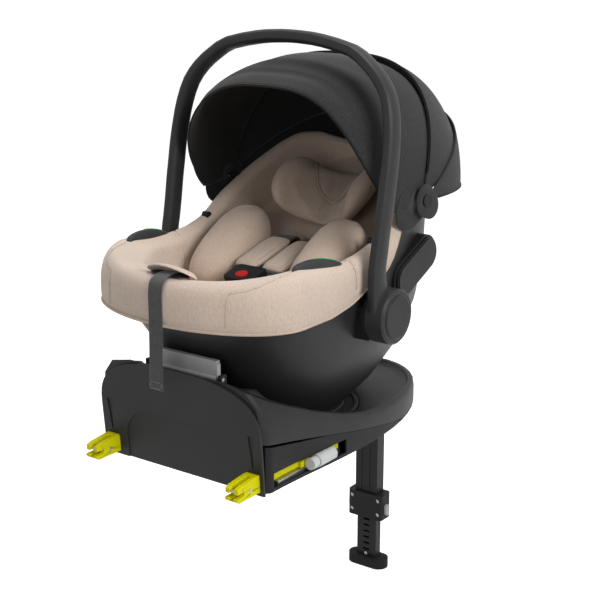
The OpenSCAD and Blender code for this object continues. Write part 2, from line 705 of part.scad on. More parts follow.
module carrier_shell() {
    color([0.15, 0.15, 0.155])
        difference() {
            union() {
                difference() {
                    union() {
                        shell_body();
                        for (s = [-1, 1]) side(s) translate([140, pod_y, pod_z]) pod_shape(pod_seat + 6 - 140, 4);
                    }
                    shell_inside(0);
                }
                for (y = lock_y, s = [-1, 1])
                    translate([s * 48, y, shell_bottom + (bar_pocket[2] + 3) / 2 + 1])
                        cube([bar_pocket[0] + 6, bar_pocket[1] + 6, bar_pocket[2] + 1], center = true);
            }
            for (s = [-1, 1]) side(s) translate([pod_seat, pod_y, pod_z]) pod_shape(40, 0.3);
            for (y = lock_y, s = [-1, 1])
                translate([s * 48, y, shell_bottom + bar_pocket[2] / 2 - 1])
                    cube([bar_pocket[0], bar_pocket[1], bar_pocket[2]], center = true);
            // seats for the lock bars
            for (y = lock_y)
                translate([0, y, lock_z]) rotate([0, 90, 0])
                    cylinder(h = 2 * (48 + bar_pocket[0] / 2 + 2), r = lock_r + 0.05, center = true);
        }
}
module carrier_lock_bars() {
    color([0.6, 0.6, 0.62])
        for (y = lock_y)
            translate([0, y, lock_z]) rotate([0, 90, 0])
                cylinder(h = 2 * (48 + bar_pocket[0] / 2 + 2) - 0.4, r = lock_r, center = true);
}

// ---- seat cover and inlays -------------------------------------------------
crest_cover = [[-6, 300], [60, 306], [110, 316], [160, 311], [218, 306], [270, 311], [312, 321],
               [353, 348], [400, 373], [447, 398], [500, 426], [532, 439], [560, 440], [600, 420], [630, 412]];
skirt_low = [[-6, 233], [172, 233], [225, 241], [275, 258], [325, 274], [349, 298], [366, 330],
             [412, 348], [500, 385], [540, 398], [600, 400], [630, 400]];
// One ring of the cover: its half width over the rim, how far it overhangs the
// foot and the head ends, and the share of the way up from hem to crest.
function cover_ring(a, foot, head, t, drop = 0) = [
    for (i = [0 : fine - 1])
        let (u = 360 * i / fine, sy = plan_y(u, 1),
             y = shell_mid + sy * (sy < 0 ? shell_mid - foot : head - shell_mid))
            [a * plan_x(u, 1), y, mix(lookup(y, skirt_low), lookup(y, crest_cover), t) - drop]
];
back_y = 270;                     // foot of the reclined backrest
back_z = 205;
back_tilt = 31.3;
floor_line = [[30, 300], [60, 268], [90, 240], [135, 214], [180, 199], [225, 196], [back_y, back_z]];
module back_frame() {
    translate([0, back_y, back_z]) rotate([back_tilt, 0, 0]) children();
}
module cavity() {
    intersection() {
        loft([
            for (r = [[120, 104, 110, 470], [180, 134, 90, 530], [250, 150, 52, 570],
                      [330, 156, 30, 588], [600, 158, 26, 592]])
                [for (p = ring_xy(r[1], r[2], r[3], shell_mid, 2.4, 2.5)) [p[0], p[1], r[0]]]
        ]);
        rotate([90, 0, 90])
            translate([0, 0, -200])
                linear_extrude(400)
                    polygon(concat(floor_line, [[back_y + 400 * cos(back_tilt), back_z + 400 * sin(back_tilt)],
                                                [700, 700], [0, 700], [0, 330]]));
    }
}
module seat_cover() {
    color([0.72, 0.62, 0.53])
        difference() {
            loft(concat(
                [for (t = [0.25, 0.43, 0.6, 0.8, 1]) carrier_ring(t, shell_t + 0.4)],
                [carrier_ring(1, shell_t + 0.4, 1.2), carrier_ring(1, -0.4, 1.2)],
                [cover_ring(cover_half - 3, -4, 618, 0)],
                [cover_ring(cover_half, -8, 622, 0.06)],
                [cover_ring(cover_half, -8, 623, 0.5)],
                [cover_ring(cover_half - 3, -6, 621, 0.8)],
                [cover_ring(cover_half - 12, 6, 612, 1, 1)],
                [cover_ring(cover_half - 22, 16, 603, 1)],
                [cover_ring(cover_half - 30, 26, 594, 1, 6)]
            ));
            cavity();
            for (s = [-1, 1]) side(s) {
                guide_shape(0.15);
                stud_shape(0.15);
            }
            // seats for the canopy's hinge pins
            translate([0, hood_y, hood_z]) rotate([0, 90, 0])
                cylinder(h = 600, r = hinge_pin_r + 0.15, center = true);
            // seat for the adjuster
            translate([0, adjuster_y, adjuster_z]) rotate([adjuster_tilt, 0, 0])
                translate([0, 0, -12]) cylinder(h = 60, r = 11.2);
        }
}
adjuster_y = 62;
adjuster_z = 266;
adjuster_tilt = -43;
module adjuster_button() {
    color([0.2, 0.2, 0.205])
        translate([0, adjuster_y, adjuster_z]) rotate([adjuster_tilt, 0, 0])
            translate([0, 0, -6]) cylinder(h = 8, r = 11);
}
guide_a = [162, 112, 316];
guide_b = [174, 216, 307];
module guide_shape(grow) {
    d = guide_b - guide_a;
    translate(guide_a) rotate([0, 0, -atan2(d[0], d[1])]) rotate([atan2(d[2], norm([d[0], d[1]])), 0, 0])
        union() {
            for (y = [10, norm(d) - 10])
                translate([0, y, -2]) rotate([0, 90, 0]) cylinder(h = 13 + 2 * grow, r = 9 + grow, center = true);
            translate([-6.5 - grow, 10, -11 - grow]) cube([13 + 2 * grow, norm(d) - 20, 18 + 2 * grow]);
        }
}
module belt_guide_left() { color([0.16, 0.16, 0.165]) side(-1) guide_shape(0); }
module belt_guide_right() { color([0.16, 0.16, 0.165]) side(1) guide_shape(0); }
module stud_shape(grow) {
    translate([162 - grow, 312, 321]) rotate([0, 90, 0]) cylinder(h = 12 + 2 * grow, r = 6 + grow);
}
module canopy_studs() { color([0.1, 0.1, 0.105]) for (s = [-1, 1]) side(s) stud_shape(0); }
module side_pod(s) {
    side(s)
        translate([pod_seat + 0.3, pod_y, pod_z])
            union() {
                pod_shape(10, 0);
                translate([10, 0, 0]) pod_shape(2, -2.5);
            }
}
module side_pod_left() { color([0.17, 0.17, 0.175]) side_pod(-1); }
module side_pod_right() { color([0.17, 0.17, 0.175]) side_pod(1); }
module backrest_pad() {
    color([0.55, 0.46, 0.38])
        back_frame() translate([0, 62, 6.3]) rounded_plate([96, 118, 12], 5);
}
bolster_half = [45, 82, 48];      // half sizes of a side bolster
bolster_at = [98, 68, bolster_half[2] + 0.3];
module bolster(s) {
    side(s) back_frame() translate(bolster_at) cushion(bolster_half);
}
module bolster_left() { color([0.7, 0.6, 0.51]) bolster(-1); }
module bolster_right() { color([0.7, 0.6, 0.51]) bolster(1); }
head_v = 158;                     // lower edge of the headrest along the backrest
wing_h = 92;                      // height of the headrest's wings off the backrest
module head_zone(v0, v1, top, r) {
    translate([-150, 0, 0]) rotate([90, 0, 90]) linear_extrude(300)
        union() {
            translate([v0, 0]) square([v1 - v0, top - r]);
            translate([v0 + r, 0]) square([v1 - v0 - 2 * r, top]);
            for (v = [v0 + r, v1 - r]) translate([v, top - r]) circle(r);
        }
}
module head_tube(r, t, v0, v1) {
    translate([0, v0, headrest_r + 0.3]) rotate([-90, 0, 0])
        difference() {
            cylinder(h = v1 - v0, r = r);
            translate([0, 0, -1]) cylinder(h = v1 - v0 + 2, r = r - t);
        }
}
module headrest_back() {
    color([0.08, 0.08, 0.085])
        back_frame() intersection() {
            head_tube(headrest_r, 5, head_v, head_v + headrest_h - 12);
            head_zone(head_v, head_v + headrest_h - 12, wing_h, 44);
        }
}
module headrest_cushion() {
    color([0.55, 0.46, 0.38])
        back_frame() intersection() {
            head_tube(headrest_r - 5.1, 30, head_v - 4, head_v + headrest_h - 8);
            head_zone(head_v - 4, head_v + headrest_h - 8, wing_h + 5, 50);
        }
}
module headrest_pillow() {
    color([0.5, 0.41, 0.34])
        back_frame() intersection() {
            head_tube(headrest_r - 35.2, 10, head_v, head_v + headrest_h);
            translate([0, head_v + 78, 0])
                union() {
                    cylinder(h = 80, r = 50);
                    translate([-50, 0, 0]) cube([100, 50, 80]);
                }
        }
}
belt_v0 = -4;
belt_w0 = 72;
belt_v1 = 118;
belt_w1 = 34;
belt_x = 27;
belt_t = 1.8;
belt_slope = atan2(belt_w1 - belt_w0, belt_v1 - belt_v0);
buckle_v = belt_v0 - 24;
buckle_w = belt_w0 - 24 * tan(belt_slope) + belt_t / 2;
module harness_webbing() {
    color([0.1, 0.1, 0.105])
        back_frame() {
            for (s = [-1, 1])
                translate([s * belt_x - webbing_w / 2, 0, 0]) rotate([90, 0, 90])
                    linear_extrude(webbing_w)
                        polygon([[belt_v0, belt_w0], [belt_v1, belt_w1], [belt_v1 + 6, 12.5], [belt_v1 + 6, 0.3],
                                 [belt_v1 + 6 + belt_t, 0.3], [belt_v1 + 6 + belt_t, 13],
                                 [belt_v1 + 1.4, belt_w1 + belt_t], [belt_v0, belt_w0 + belt_t]]);
            // crotch strap
            translate([-webbing_w / 2 + 4, 0, 0]) rotate([90, 0, 90])
                linear_extrude(webbing_w - 8)
                    polygon([[-42, 15.2], [-40, 15], [-30, buckle_w - 10.9], [-32, buckle_w - 10.3]]);
        }
}
module harness_pads() {
    pad = [52, 104, 15];
    color([0.6, 0.5, 0.42])
        back_frame() for (s = [-1, 1])
            translate([s * belt_x, belt_v0 + 10, belt_w0 + belt_t / 2 - 3]) rotate([belt_slope, 0, 0])
                difference() {
                    translate([0, pad[1] / 2, 0.3]) rounded_plate(pad, 6);
                    translate([-webbing_w / 2 - 0.2, -1, -belt_t / 2 - 0.2]) cube([webbing_w + 0.4, pad[1] + 2, belt_t + 0.4]);
                }
}
module buckle() {
    color([0.09, 0.09, 0.095])
        back_frame() translate([0, buckle_v, buckle_w]) rotate([belt_slope, 0, 0])
            difference() {
                rounded_plate([56, 46, 20], 6);
                translate([0, -8, 4]) cylinder(h = 20, r = 10.2);
                translate([-webbing_w, 10, -1.4]) cube([2 * webbing_w, 20, 2.8]);
            }
}
module buckle_button() {
    color([0.6, 0.08, 0.07])
        back_frame() translate([0, buckle_v, buckle_w]) rotate([belt_slope, 0, 0])
            translate([0, -8, 7.2]) cylinder(h = 5, r = 10);
}
module adjuster_flap() {
    color([0.66, 0.57, 0.48])
        translate([0, 19, 308]) rotate([-8, 0, 0]) cushion([44, 20, 5], e = 2.3, rows = 5, around = 20);
}
strap_w = 26;
module adjuster_strap() {
    color([0.35, 0.35, 0.36])
        translate([-strap_w / 2, 0, 0]) rotate([90, 0, 90])
            linear_extrude(strap_w)
                polygon([[14, 302], [4, 302.6], [-4.6, 296.5], [-8.3, 284], [-8.9, 240], [-10.9, 134],
                         [-13.1, 134], [-11.1, 240], [-10.5, 284], [-6.6, 298.5], [3, 304.6], [14, 303.8]]);
}

// ---- handle ----------------------------------------------------------------
mount_x = cover_half + 0.6;       // inner face of the round part of a hub mount
mount_out = mount_x + mount_w;    // outer face of a hub mount
hub_in = mount_out + 1;           // inner face of a handle hub
hub_out = hub_in + hub_w;         // outer face of a handle hub
handle_half = hub_in + grip_t / 2 + 1;
module hub_mount(s) {
    side(s)
        union() {
            translate([mount_x, hub_y, hub_z]) rotate([0, 90, 0]) cylinder(h = mount_out - mount_x, r = hub_r - 3);
            translate([mount_out - eps, hub_y, hub_z]) rotate([0, 90, 0]) cylinder(h = hub_w - 10.5, r = hub_pin_r);
            difference() {
                translate([165, hub_y - 30, 176]) cube([mount_out - 165, 62, 52]);
                shell_body();
            }
        }
}
module hub_mount_left() { color([0.06, 0.06, 0.065]) hub_mount(-1); }
module hub_mount_right() { color([0.06, 0.06, 0.065]) hub_mount(1); }
lean_c = cos(handle_lean);
lean_s = sin(handle_lean);
leg_off = 43;                     // how far the legs pass in front of the handle's axis
bow = [[0, 78], [0, 110], [0, 140], [1, 175], [1, 206], [1, 240], [-1, 274], [-5, 306], [-15, 340],
       [-34, 367], [-60, 389], [-90, 406.5], [-147, 418.4], [-180, 421.6]];
function bow_at(x, q) = [x, hub_y - leg_off + q * lean_s, hub_z + q * lean_c];
bow_low = [[-15, -12], [-20, 12], [-26, 40]];
function bow_marks() = concat(
    [for (p = bow_low) [handle_half, hub_y + p[0], hub_z + p[1]]],
    [for (p = bow) bow_at(handle_half + p[0], p[1] + handle_rise - 415)],
    [bow_at(0, handle_rise + 7.6)],
    [for (i = [len(bow) - 1 : -1 : 0]) bow_at(-handle_half - bow[i][0], bow[i][1] + handle_rise - 415)],
    [for (i = [2 : -1 : 0]) [-handle_half, hub_y + bow_low[i][0], hub_z + bow_low[i][1]]]
);
// Smooth curve through the marks, with a point halfway between each pair.
function bow_pts() = let (m = bow_marks(), n = len(m)) concat(
    [for (i = [0 : n - 2]) each [m[i],
        (9 * (m[i] + m[i + 1]) - m[max(0, i - 1)] - m[min(n - 1, i + 2)]) / 16]],
    [m[n - 1]]
);
function unit(v) = v / norm(v);
// Ring of a rounded section around a point of the bow, square to its run.
function bow_ring(p, d, w, t) =
    let (out = unit(cross(d, [0, lean_c, -lean_s])), along = unit(cross(out, d)))
        [for (i = [0 : 15]) let (a = 360 * i / 16)
            p + out * t / 2 * power(cos(a), 2 / 2.8) + along * -w / 2 * power(sin(a), 2 / 2.6)];
module handle_bow() {
    pts = bow_pts();
    n = len(pts);
    color([0.2, 0.2, 0.205])
        difference() {
            union() {
                loft([for (i = [0 : n - 1])
                    let (d = unit(pts[min(n - 1, i + 1)] - pts[max(0, i - 1)]), e = min(i, n - 1 - i))
                        bow_ring(pts[i], d, grip_w + 3 * max(0, 6 - e), grip_t)]);
                for (s = [-1, 1]) side(s)
                    translate([hub_in, hub_y, hub_z])
                        rotate([0, 90, 0])
                            union() {
                                cylinder(h = hub_w - 3, r = hub_r);
                                translate([0, 0, hub_w - 3]) cylinder(h = 3, r1 = hub_r, r2 = hub_r - 3);
                            }
            }
            for (s = [-1, 1]) side(s) {
                translate([hub_in - 10, hub_y, hub_z]) rotate([0, 90, 0]) cylinder(h = 80, r = hub_pin_r + 0.05);
                translate([hub_out - 6.5 - hub_button_travel, hub_y, hub_z])
                    rotate([0, 90, 0]) cylinder(h = 80, r = hub_button_r + 0.2);
            }
        }
}
module hub_button(s) {
    side(s)
        translate([hub_out - 5.5, hub_y, hub_z]) rotate([0, 90, 0])
            union() {
                cylinder(h = 6, r = hub_button_r);
                translate([0, 0, 6]) cylinder(h = 2, r1 = hub_button_r, r2 = hub_button_r - 3);
            }
}
module hub_button_left() { color([0.17, 0.17, 0.175]) hub_button(-1); }
module hub_button_right() { color([0.17, 0.17, 0.175]) hub_button(1); }

// ---- canopy ----------------------------------------------------------------
hinge_pin_r = 4;
hinge_hole = hinge_pin_r + 0.05;
mid_half = visor_half + 5;
rear_half = mid_half + 5;
function band(r, w, n, steps) = [
    for (i = [0 : steps])
        let (a = mix(0.3, 179.7, i / steps), c = cos(a), q = abs(sin(a)))
            [r * power(q, 2 / n), w * power(c, 2 / n)]
];
// A curved band of canopy, hinged at both ends and spanning two angles that
// are measured backward from upright.
module canopy_band(r, w, n, from, to) {
    steps = 28;
    outer = [for (p = band(r, w, n, steps)) if (p[0] > hinge_hole + 3) p];
    inner = [for (p = band(r - hood_t, w - hood_t, n, steps)) if (p[0] > hinge_hole + 3) p];
    section = concat(
        [[hinge_hole, w]], outer, [[hinge_hole, -w], [hinge_hole, -w + hood_t]],
        [for (i = [len(inner) - 1 : -1 : 0]) inner[i]], [[hinge_hole, w - hood_t]]
    );
    translate([0, hood_y, hood_z])
        rotate([-from, 0, 0])
            rotate([0, 90, 0]) rotate([0, 0, 180 - (to - from)])
                rotate_extrude(angle = to - from) polygon(section);
}
function hood_point(r, w, n, a, deg) =
    let (q = r * power(abs(sin(a)), 2 / n))
        [w * power(cos(a), 2 / n), hood_y + q * sin(deg), hood_z + q * cos(deg)];
// A canopy sheet whose radius and squareness change from its front edge to
// its rear edge. Tables give radius and exponent against the angle, and the
// front edge's angle against the share of the radius.
module canopy_sheet(w, radii, powers, fronts, rear, rows) {
    cols = 26;
    m = rows + 1;
    grid = [for (t = [0, hood_t]) for (i = [0 : cols]) for (j = [0 : rows])
        let (a = mix(1.2, 178.8, i / cols), share = power(abs(sin(a)), 2 / 2.8),
             deg = mix(lookup(share, fronts), rear, j / rows))
            hood_point(lookup(deg, radii) - t, w - t, lookup(deg, powers), a, deg)];
    k = (cols + 1) * m;
    quads = concat(
        [for (i = [0 : cols - 1]) for (j = [0 : rows - 1])
            [i * m + j, i * m + j + 1, (i + 1) * m + j + 1, (i + 1) * m + j]],
        [for (i = [0 : cols - 1]) for (j = [0 : rows - 1])
            [k + (i + 1) * m + j, k + (i + 1) * m + j + 1, k + i * m + j + 1, k + i * m + j]],
        [for (i = [0 : cols - 1]) [i * m, (i + 1) * m, k + (i + 1) * m, k + i * m]],
        [for (i = [0 : cols - 1]) [k + i * m + rows, k + (i + 1) * m + rows, (i + 1) * m + rows, i * m + rows]],
        [for (j = [0 : rows - 1]) [j + 1, j, k + j, k + j + 1]],
        [for (j = [0 : rows - 1]) [cols * m + j, cols * m + j + 1, k + cols * m + j + 1, k + cols * m + j]]
    );
    polyhedron(grid, [for (q = quads) each [[q[0], q[2], q[1]], [q[0], q[3], q[2]]]], convexity = 8);
}
module hinge_disc(w, r) {
    for (s = [-1, 1]) side(s)
        translate([w - hood_t, hood_y, hood_z]) rotate([0, 90, 0])
            difference() {
                cylinder(h = hood_t, r = r);
                translate([0, 0, -1]) cylinder(h = 10, r = hinge_hole);
            }
}
module hinge_bore() {
    translate([0, hood_y, hood_z]) rotate([0, 90, 0]) cylinder(h = 500, r = hinge_hole, center = true);
}
module canopy_rear() {
    color([0.17, 0.17, 0.175]) canopy_band(rear_r, rear_half, 2.45, 62, 92);
}
module canopy_mid() {
    color([0.18, 0.18, 0.185])
        difference() {
            union() {
                canopy_sheet(mid_half, [[18, mid_r - 34], [65, mid_r]], [[18, 2.77], [65, 2.42]],
                             [[0, 18], [1, 18]], 65, 6);
                hinge_disc(mid_half, 16);
            }
            hinge_bore();
        }
}
module canopy_visor() {
    color([0.19, 0.19, 0.195])
        difference() {
            union() {
                canopy_sheet(visor_half,
                             [[-105, visor_r + 14], [-41, visor_r + 12], [-12, visor_r - 8.5], [22, visor_r - 12]],
                             [[-60, 2.95], [-12, 2.74], [22, 2.7]],
                             [[0, -100], [0.3, -96], [0.35, -88], [0.45, -74], [0.6, -63], [0.75, -54], [0.9, -46],
                              [1, -41]],
                             22, 9);
                hinge_disc(visor_half, 52);
            }
            hinge_bore();
        }
}
module canopy_hinge_pins() {
    color([0.3, 0.3, 0.31])
        for (s = [-1, 1]) side(s)
            translate([0, hood_y, hood_z]) rotate([0, 90, 0])
                union() {
                    translate([0, 0, 172]) cylinder(h = rear_half + 2 - 172, r = hinge_pin_r);
                    translate([0, 0, rear_half + 0.3]) cylinder(h = 3, r = 9);
                }
}

base_shell();
base_pan();
base_wall();
arm_rails();
frame_crossbar();
arm_left();
arm_right();
latch_hook_left();
latch_hook_right();
arm_grip_left();
arm_grip_right();
release_bar();
release_bar_pin();
swivel_bearing();
turntable();
carrier_hooks();
leg_bracket();
leg_hinge_pin();
leg_outer_tube();
leg_collar();
leg_collar_screws();
leg_button_left();
leg_button_right();
leg_inner_tube();
leg_lock_stud();
leg_foot();
carrier_shell();
carrier_lock_bars();
seat_cover();
backrest_pad();
bolster_left();
bolster_right();
headrest_back();
headrest_cushion();
headrest_pillow();
belt_guide_left();
belt_guide_right();
canopy_studs();
side_pod_left();
side_pod_right();
harness_webbing();
harness_pads();
buckle();
buckle_button();
adjuster_flap();
adjuster_button();
adjuster_strap();
hub_mount_left();
hub_mount_right();
handle_bow();
hub_button_left();
hub_button_right();
canopy_rear();
canopy_mid();
canopy_visor();
canopy_hinge_pins();
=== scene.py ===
"""Looks of the infant car seat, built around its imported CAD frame."""
import math

import bmesh
import bpy
import numpy as np
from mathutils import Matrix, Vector


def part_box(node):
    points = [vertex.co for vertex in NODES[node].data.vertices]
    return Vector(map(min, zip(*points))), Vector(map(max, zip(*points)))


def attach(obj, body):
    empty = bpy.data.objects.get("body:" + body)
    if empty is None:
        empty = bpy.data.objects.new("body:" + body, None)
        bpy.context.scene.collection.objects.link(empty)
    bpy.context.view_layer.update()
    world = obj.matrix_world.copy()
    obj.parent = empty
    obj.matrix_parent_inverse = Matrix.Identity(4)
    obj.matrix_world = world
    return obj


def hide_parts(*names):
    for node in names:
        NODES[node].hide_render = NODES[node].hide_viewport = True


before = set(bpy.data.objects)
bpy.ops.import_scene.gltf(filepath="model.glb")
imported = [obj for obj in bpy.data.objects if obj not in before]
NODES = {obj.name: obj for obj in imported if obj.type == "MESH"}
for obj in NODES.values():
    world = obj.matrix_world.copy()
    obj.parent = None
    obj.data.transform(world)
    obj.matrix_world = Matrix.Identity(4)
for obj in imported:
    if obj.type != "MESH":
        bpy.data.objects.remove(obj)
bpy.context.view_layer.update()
scene = bpy.context.scene
scene.view_settings.view_transform = "Standard"
MM = 0.001


# ---- camera, light and floor
CAMERA_PLACE = (1.2601, -1.3955, 0.8027)
AZIMUTH, ELEVATION = math.radians(35.8), math.radians(15.914)
LENS, SENSOR, FAR_CLIP = 79.72, 36, 30
AMBIENT = 0.31
FLOOR_SIZE, FLOOR_SINK, FLOOR_GREY, FLOOR_GLOW = 60, 0.0005, 0.6, 0.86
LAMPS = [
    # name, place, where it points, side of its square and power
    ("key", (2.9, -0.3, 1.8), (0, 0.25, 0.2), 1.5, 74),
    ("top", (0.2, 0.5, 2.8), (0, 0.3, 0.2), 1.5, 42),
    ("front", (0.7, -3.0, 0.9), (0, 0.3, 0.2), 1.4, 14),
    ("fill", (-2.7, -0.2, 1.2), (0, 0.3, 0.2), 1.4, 12),
]


def add_camera():
    data = bpy.data.cameras.new("camera")
    data.sensor_width = SENSOR
    data.lens = LENS
    data.clip_end = FAR_CLIP
    camera = bpy.data.objects.new("camera", data)
    scene.collection.objects.link(camera)
    level = math.cos(ELEVATION)
    look = Vector((-math.sin(AZIMUTH) * level, math.cos(AZIMUTH) * level, -math.sin(ELEVATION)))
    camera.location = CAMERA_PLACE
    camera.rotation_euler = look.to_track_quat("-Z", "Y").to_euler()
    scene.camera = camera


def area_light(name, place, target, side, power):
    data = bpy.data.lights.new(name, "AREA")
    data.size = side
    data.energy = power
    lamp = bpy.data.objects.new(name, data)
    scene.collection.objects.link(lamp)
    lamp.location = place
    lamp.rotation_euler = (Vector(target) - Vector(place)).to_track_quat("-Z", "Y").to_euler()


def node(tree, kind, **values):
    """A new node. A value goes to the property or socket of its name, and a socket is linked."""
    made = tree.nodes.new(kind)
    for key, value in values.items():
        if hasattr(made, key):
            setattr(made, key, value)
        elif isinstance(value, bpy.types.NodeSocket):
            tree.links.new(value, made.inputs[key.replace("_", " ")])
        else:
            made.inputs[key.replace("_", " ")].default_value = value
    return made


def backdrop_rays(tree):
    """One for the rays that meet the white backdrop: the camera's own, and those in gloss and glass."""
    path = node(tree, "ShaderNodeLightPath")
    gloss = node(tree, "ShaderNodeMath", operation="MAXIMUM")
    glass = node(tree, "ShaderNodeMath", operation="MAXIMUM")
    link = tree.links.new
    link(path.outputs["Is Camera Ray"], gloss.inputs[0])
    link(path.outputs["Is Glossy Ray"], gloss.inputs[1])
    link(gloss.outputs[0], glass.inputs[0])
    link(path.outputs["Is Transmission Ray"], glass.inputs[1])
    return glass.outputs[0]


def add_world():
    world = bpy.data.worlds.new("studio")
    world.use_nodes = True
    scene.world = world
    tree = world.node_tree
    tree.nodes.clear()
    out = node(tree, "ShaderNodeOutputWorld")
    soft = node(tree, "ShaderNodeBackground", Color=(1, 1, 1, 1), Strength=AMBIENT)
    white = node(tree, "ShaderNodeBackground", Color=(1, 1, 1, 1), Strength=1.0)
    mix = node(tree, "ShaderNodeMixShader")
    link = tree.links.new
    link(backdrop_rays(tree), mix.inputs[0])
    link(soft.outputs[0], mix.inputs[1])
    link(white.outputs[0], mix.inputs[2])
    link(mix.outputs[0], out.inputs[0])


def add_floor():
    level = float(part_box("leg_foot")[0][2])
    bpy.ops.mesh.primitive_plane_add(size=FLOOR_SIZE, location=(0, 0.3, level - FLOOR_SINK))
    floor = bpy.context.object
    floor.name = "floor"
    made = bpy.data.materials.new("floor")
    made.use_nodes = True
    tree = made.node_tree
    tree.nodes.clear()
    out = node(tree, "ShaderNodeOutputMaterial")
    matt = node(tree, "ShaderNodeBsdfDiffuse", Color=(FLOOR_GREY, FLOOR_GREY, FLOOR_GREY, 1))
    strength = node(tree, "ShaderNodeMath", operation="MULTIPLY")
    strength.inputs[1].default_value = FLOOR_GLOW
    glow = node(tree, "ShaderNodeEmission", Color=(1, 1, 1, 1), Strength=strength.outputs[0])
    add = node(tree, "ShaderNodeAddShader")
    link = tree.links.new
    link(backdrop_rays(tree), strength.inputs[0])
    link(matt.outputs[0], add.inputs[0])
    link(glow.outputs[0], add.inputs[1])
    link(add.outputs[0], out.inputs[0])
    floor.data.materials.append(made)


# ---- materials
GLOSS_DIP, GLOSS_RISE, SHEEN_ROUGH = 0.05, 0.06, 0.5
# How many features of each pattern there are in a metre.
TONE_PATCHES, GLOSS_PATCHES, DRAWN_LINES, FIBRES, YARNS, DYE_PATCHES = 9, 30, 260, 1500, 420, 7
GRAIN_HEIGHT, LINE_HEIGHT, WEAVE_HEIGHT = 0.0002, 0.0001, 0.0005
LOOK = {}


def start_material(name, rough, metallic=0.0, sheen=0.0, specular=0.5):
    """A new look, with its nodes, its shader and the object's own coordinates."""
    made = bpy.data.materials.new(name)
    LOOK[name] = made
    made.use_nodes = True
    tree = made.node_tree
    shader = tree.nodes["Principled BSDF"]
    for key, value in (("Roughness", rough), ("Metallic", metallic), ("Sheen Weight", sheen),
                       ("Sheen Roughness", SHEEN_ROUGH), ("Specular IOR Level", specular)):
        shader.inputs[key].default_value = value
    place = node(tree, "ShaderNodeTexCoord")
    return tree, shader, place.outputs["Object"]


def mapped(tree, place, **values):
    return node(tree, "ShaderNodeMapping", Vector=place, **values).outputs["Vector"]


def noise_tex(tree, place, scale, detail=3.0, rough=0.55, stretch=None):
    if stretch:
        place = mapped(tree, place, Scale=stretch)
    made = node(tree, "ShaderNodeTexNoise", Vector=place, Scale=scale, Detail=detail, Roughness=rough)
    return made.outputs["Fac"]


def ramp(tree, fac, low, high, start=0.35, end=0.65):
    made = node(tree, "ShaderNodeValToRGB", Fac=fac)
    for stop, at, tone in zip(made.color_ramp.elements, (start, end), (low, high)):
        stop.position = at
        stop.color = (*tone, 1)
    return made.outputs["Color"]


def shade(tone, share):
    return tuple(min(1.0, c * share) for c in tone)


def combine(tree, a, b, kind):
    made = node(tree, "ShaderNodeMath", operation=kind)
    tree.links.new(a, made.inputs[0])
    tree.links.new(b, made.inputs[1])
    return made.outputs[0]


def finish_material(tree, shader, colour, height, strength, distance):
    tree.links.new(colour, shader.inputs["Base Color"])
    bump = node(tree, "ShaderNodeBump", Height=height, Strength=strength, Distance=distance)
    tree.links.new(bump.outputs["Normal"], shader.inputs["Normal"])


def plastic(name, tone, rough, grain=2600, depth=0.12, spread=0.1, specular=0.16):
    """Moulded plastic: fine spark-eroded grain and slightly uneven gloss."""
    tree, shader, place = start_material(name, rough, specular=specular)
    grains = noise_tex(tree, place, grain, 2.0)
    broad = noise_tex(tree, place, TONE_PATCHES, 4.0)
    colour = ramp(tree, broad, shade(tone, 1 - spread), shade(tone, 1 + spread))
    gloss = node(tree, "ShaderNodeMapRange", Value=noise_tex(tree, place, GLOSS_PATCHES),
                 To_Min=rough - GLOSS_DIP, To_Max=rough + GLOSS_RISE)
    tree.links.new(gloss.outputs["Result"], shader.inputs["Roughness"])
    finish_material(tree, shader, colour, grains, depth, GRAIN_HEIGHT)


def metal(name, tone, rough):
    """Plated steel with faint drawing lines."""
    tree, shader, place = start_material(name, rough, metallic=0.95)
    lines = noise_tex(tree, place, DRAWN_LINES, stretch=(0.06, 1, 1))
    colour = ramp(tree, lines, shade(tone, 0.86), shade(tone, 1.08))
    finish_material(tree, shader, colour, lines, 0.15, LINE_HEIGHT)


def weave(tree, place, pitch):
    """Height of a fine woven or knitted cloth: two crossing bands."""
    out = []
    for turn in (0.0, math.pi / 2):
        slanted = mapped(tree, place, Rotation=(0.62, 0.35, turn))
        bands = node(tree, "ShaderNodeTexWave", Vector=slanted, Scale=0.5 / pitch, Distortion=0.6, Detail=1,
                     Detail_Scale=2)
        out.append(bands.outputs["Fac"])
    return combine(tree, out[0], out[1], "MULTIPLY")


def fabric(name, tone, pitch=0.0016, rough=0.9, sheen=0.35, heather=0.12, depth=0.35, broad=0.05):
    """Cloth: weave, fibre noise, heathered yarns and slow drift of the dye."""
    tree, shader, place = start_material(name, rough, sheen=sheen, specular=0.12)
    height = weave(tree, place, pitch)
    fibres = noise_tex(tree, place, FIBRES, rough=0.7)
    yarns = noise_tex(tree, place, YARNS, rough=0.7, stretch=(1, 1, 0.35))
    drift = noise_tex(tree, place, DYE_PATCHES, 2.0)
    base = ramp(tree, yarns, shade(tone, 1 - heather), shade(tone, 1 + heather), 0.38, 0.62)
    tint = ramp(tree, drift, (1 - broad,) * 3, (1 + broad,) * 3, 0.3, 0.7)
    mix = node(tree, "ShaderNodeMix", data_type="RGBA", blend_type="MULTIPLY", Factor=1.0, A=base, B=tint)
    height = combine(tree, height, fibres, "ADD")
    finish_material(tree, shader, mix.outputs["Result"], height, depth, WEAVE_HEIGHT)


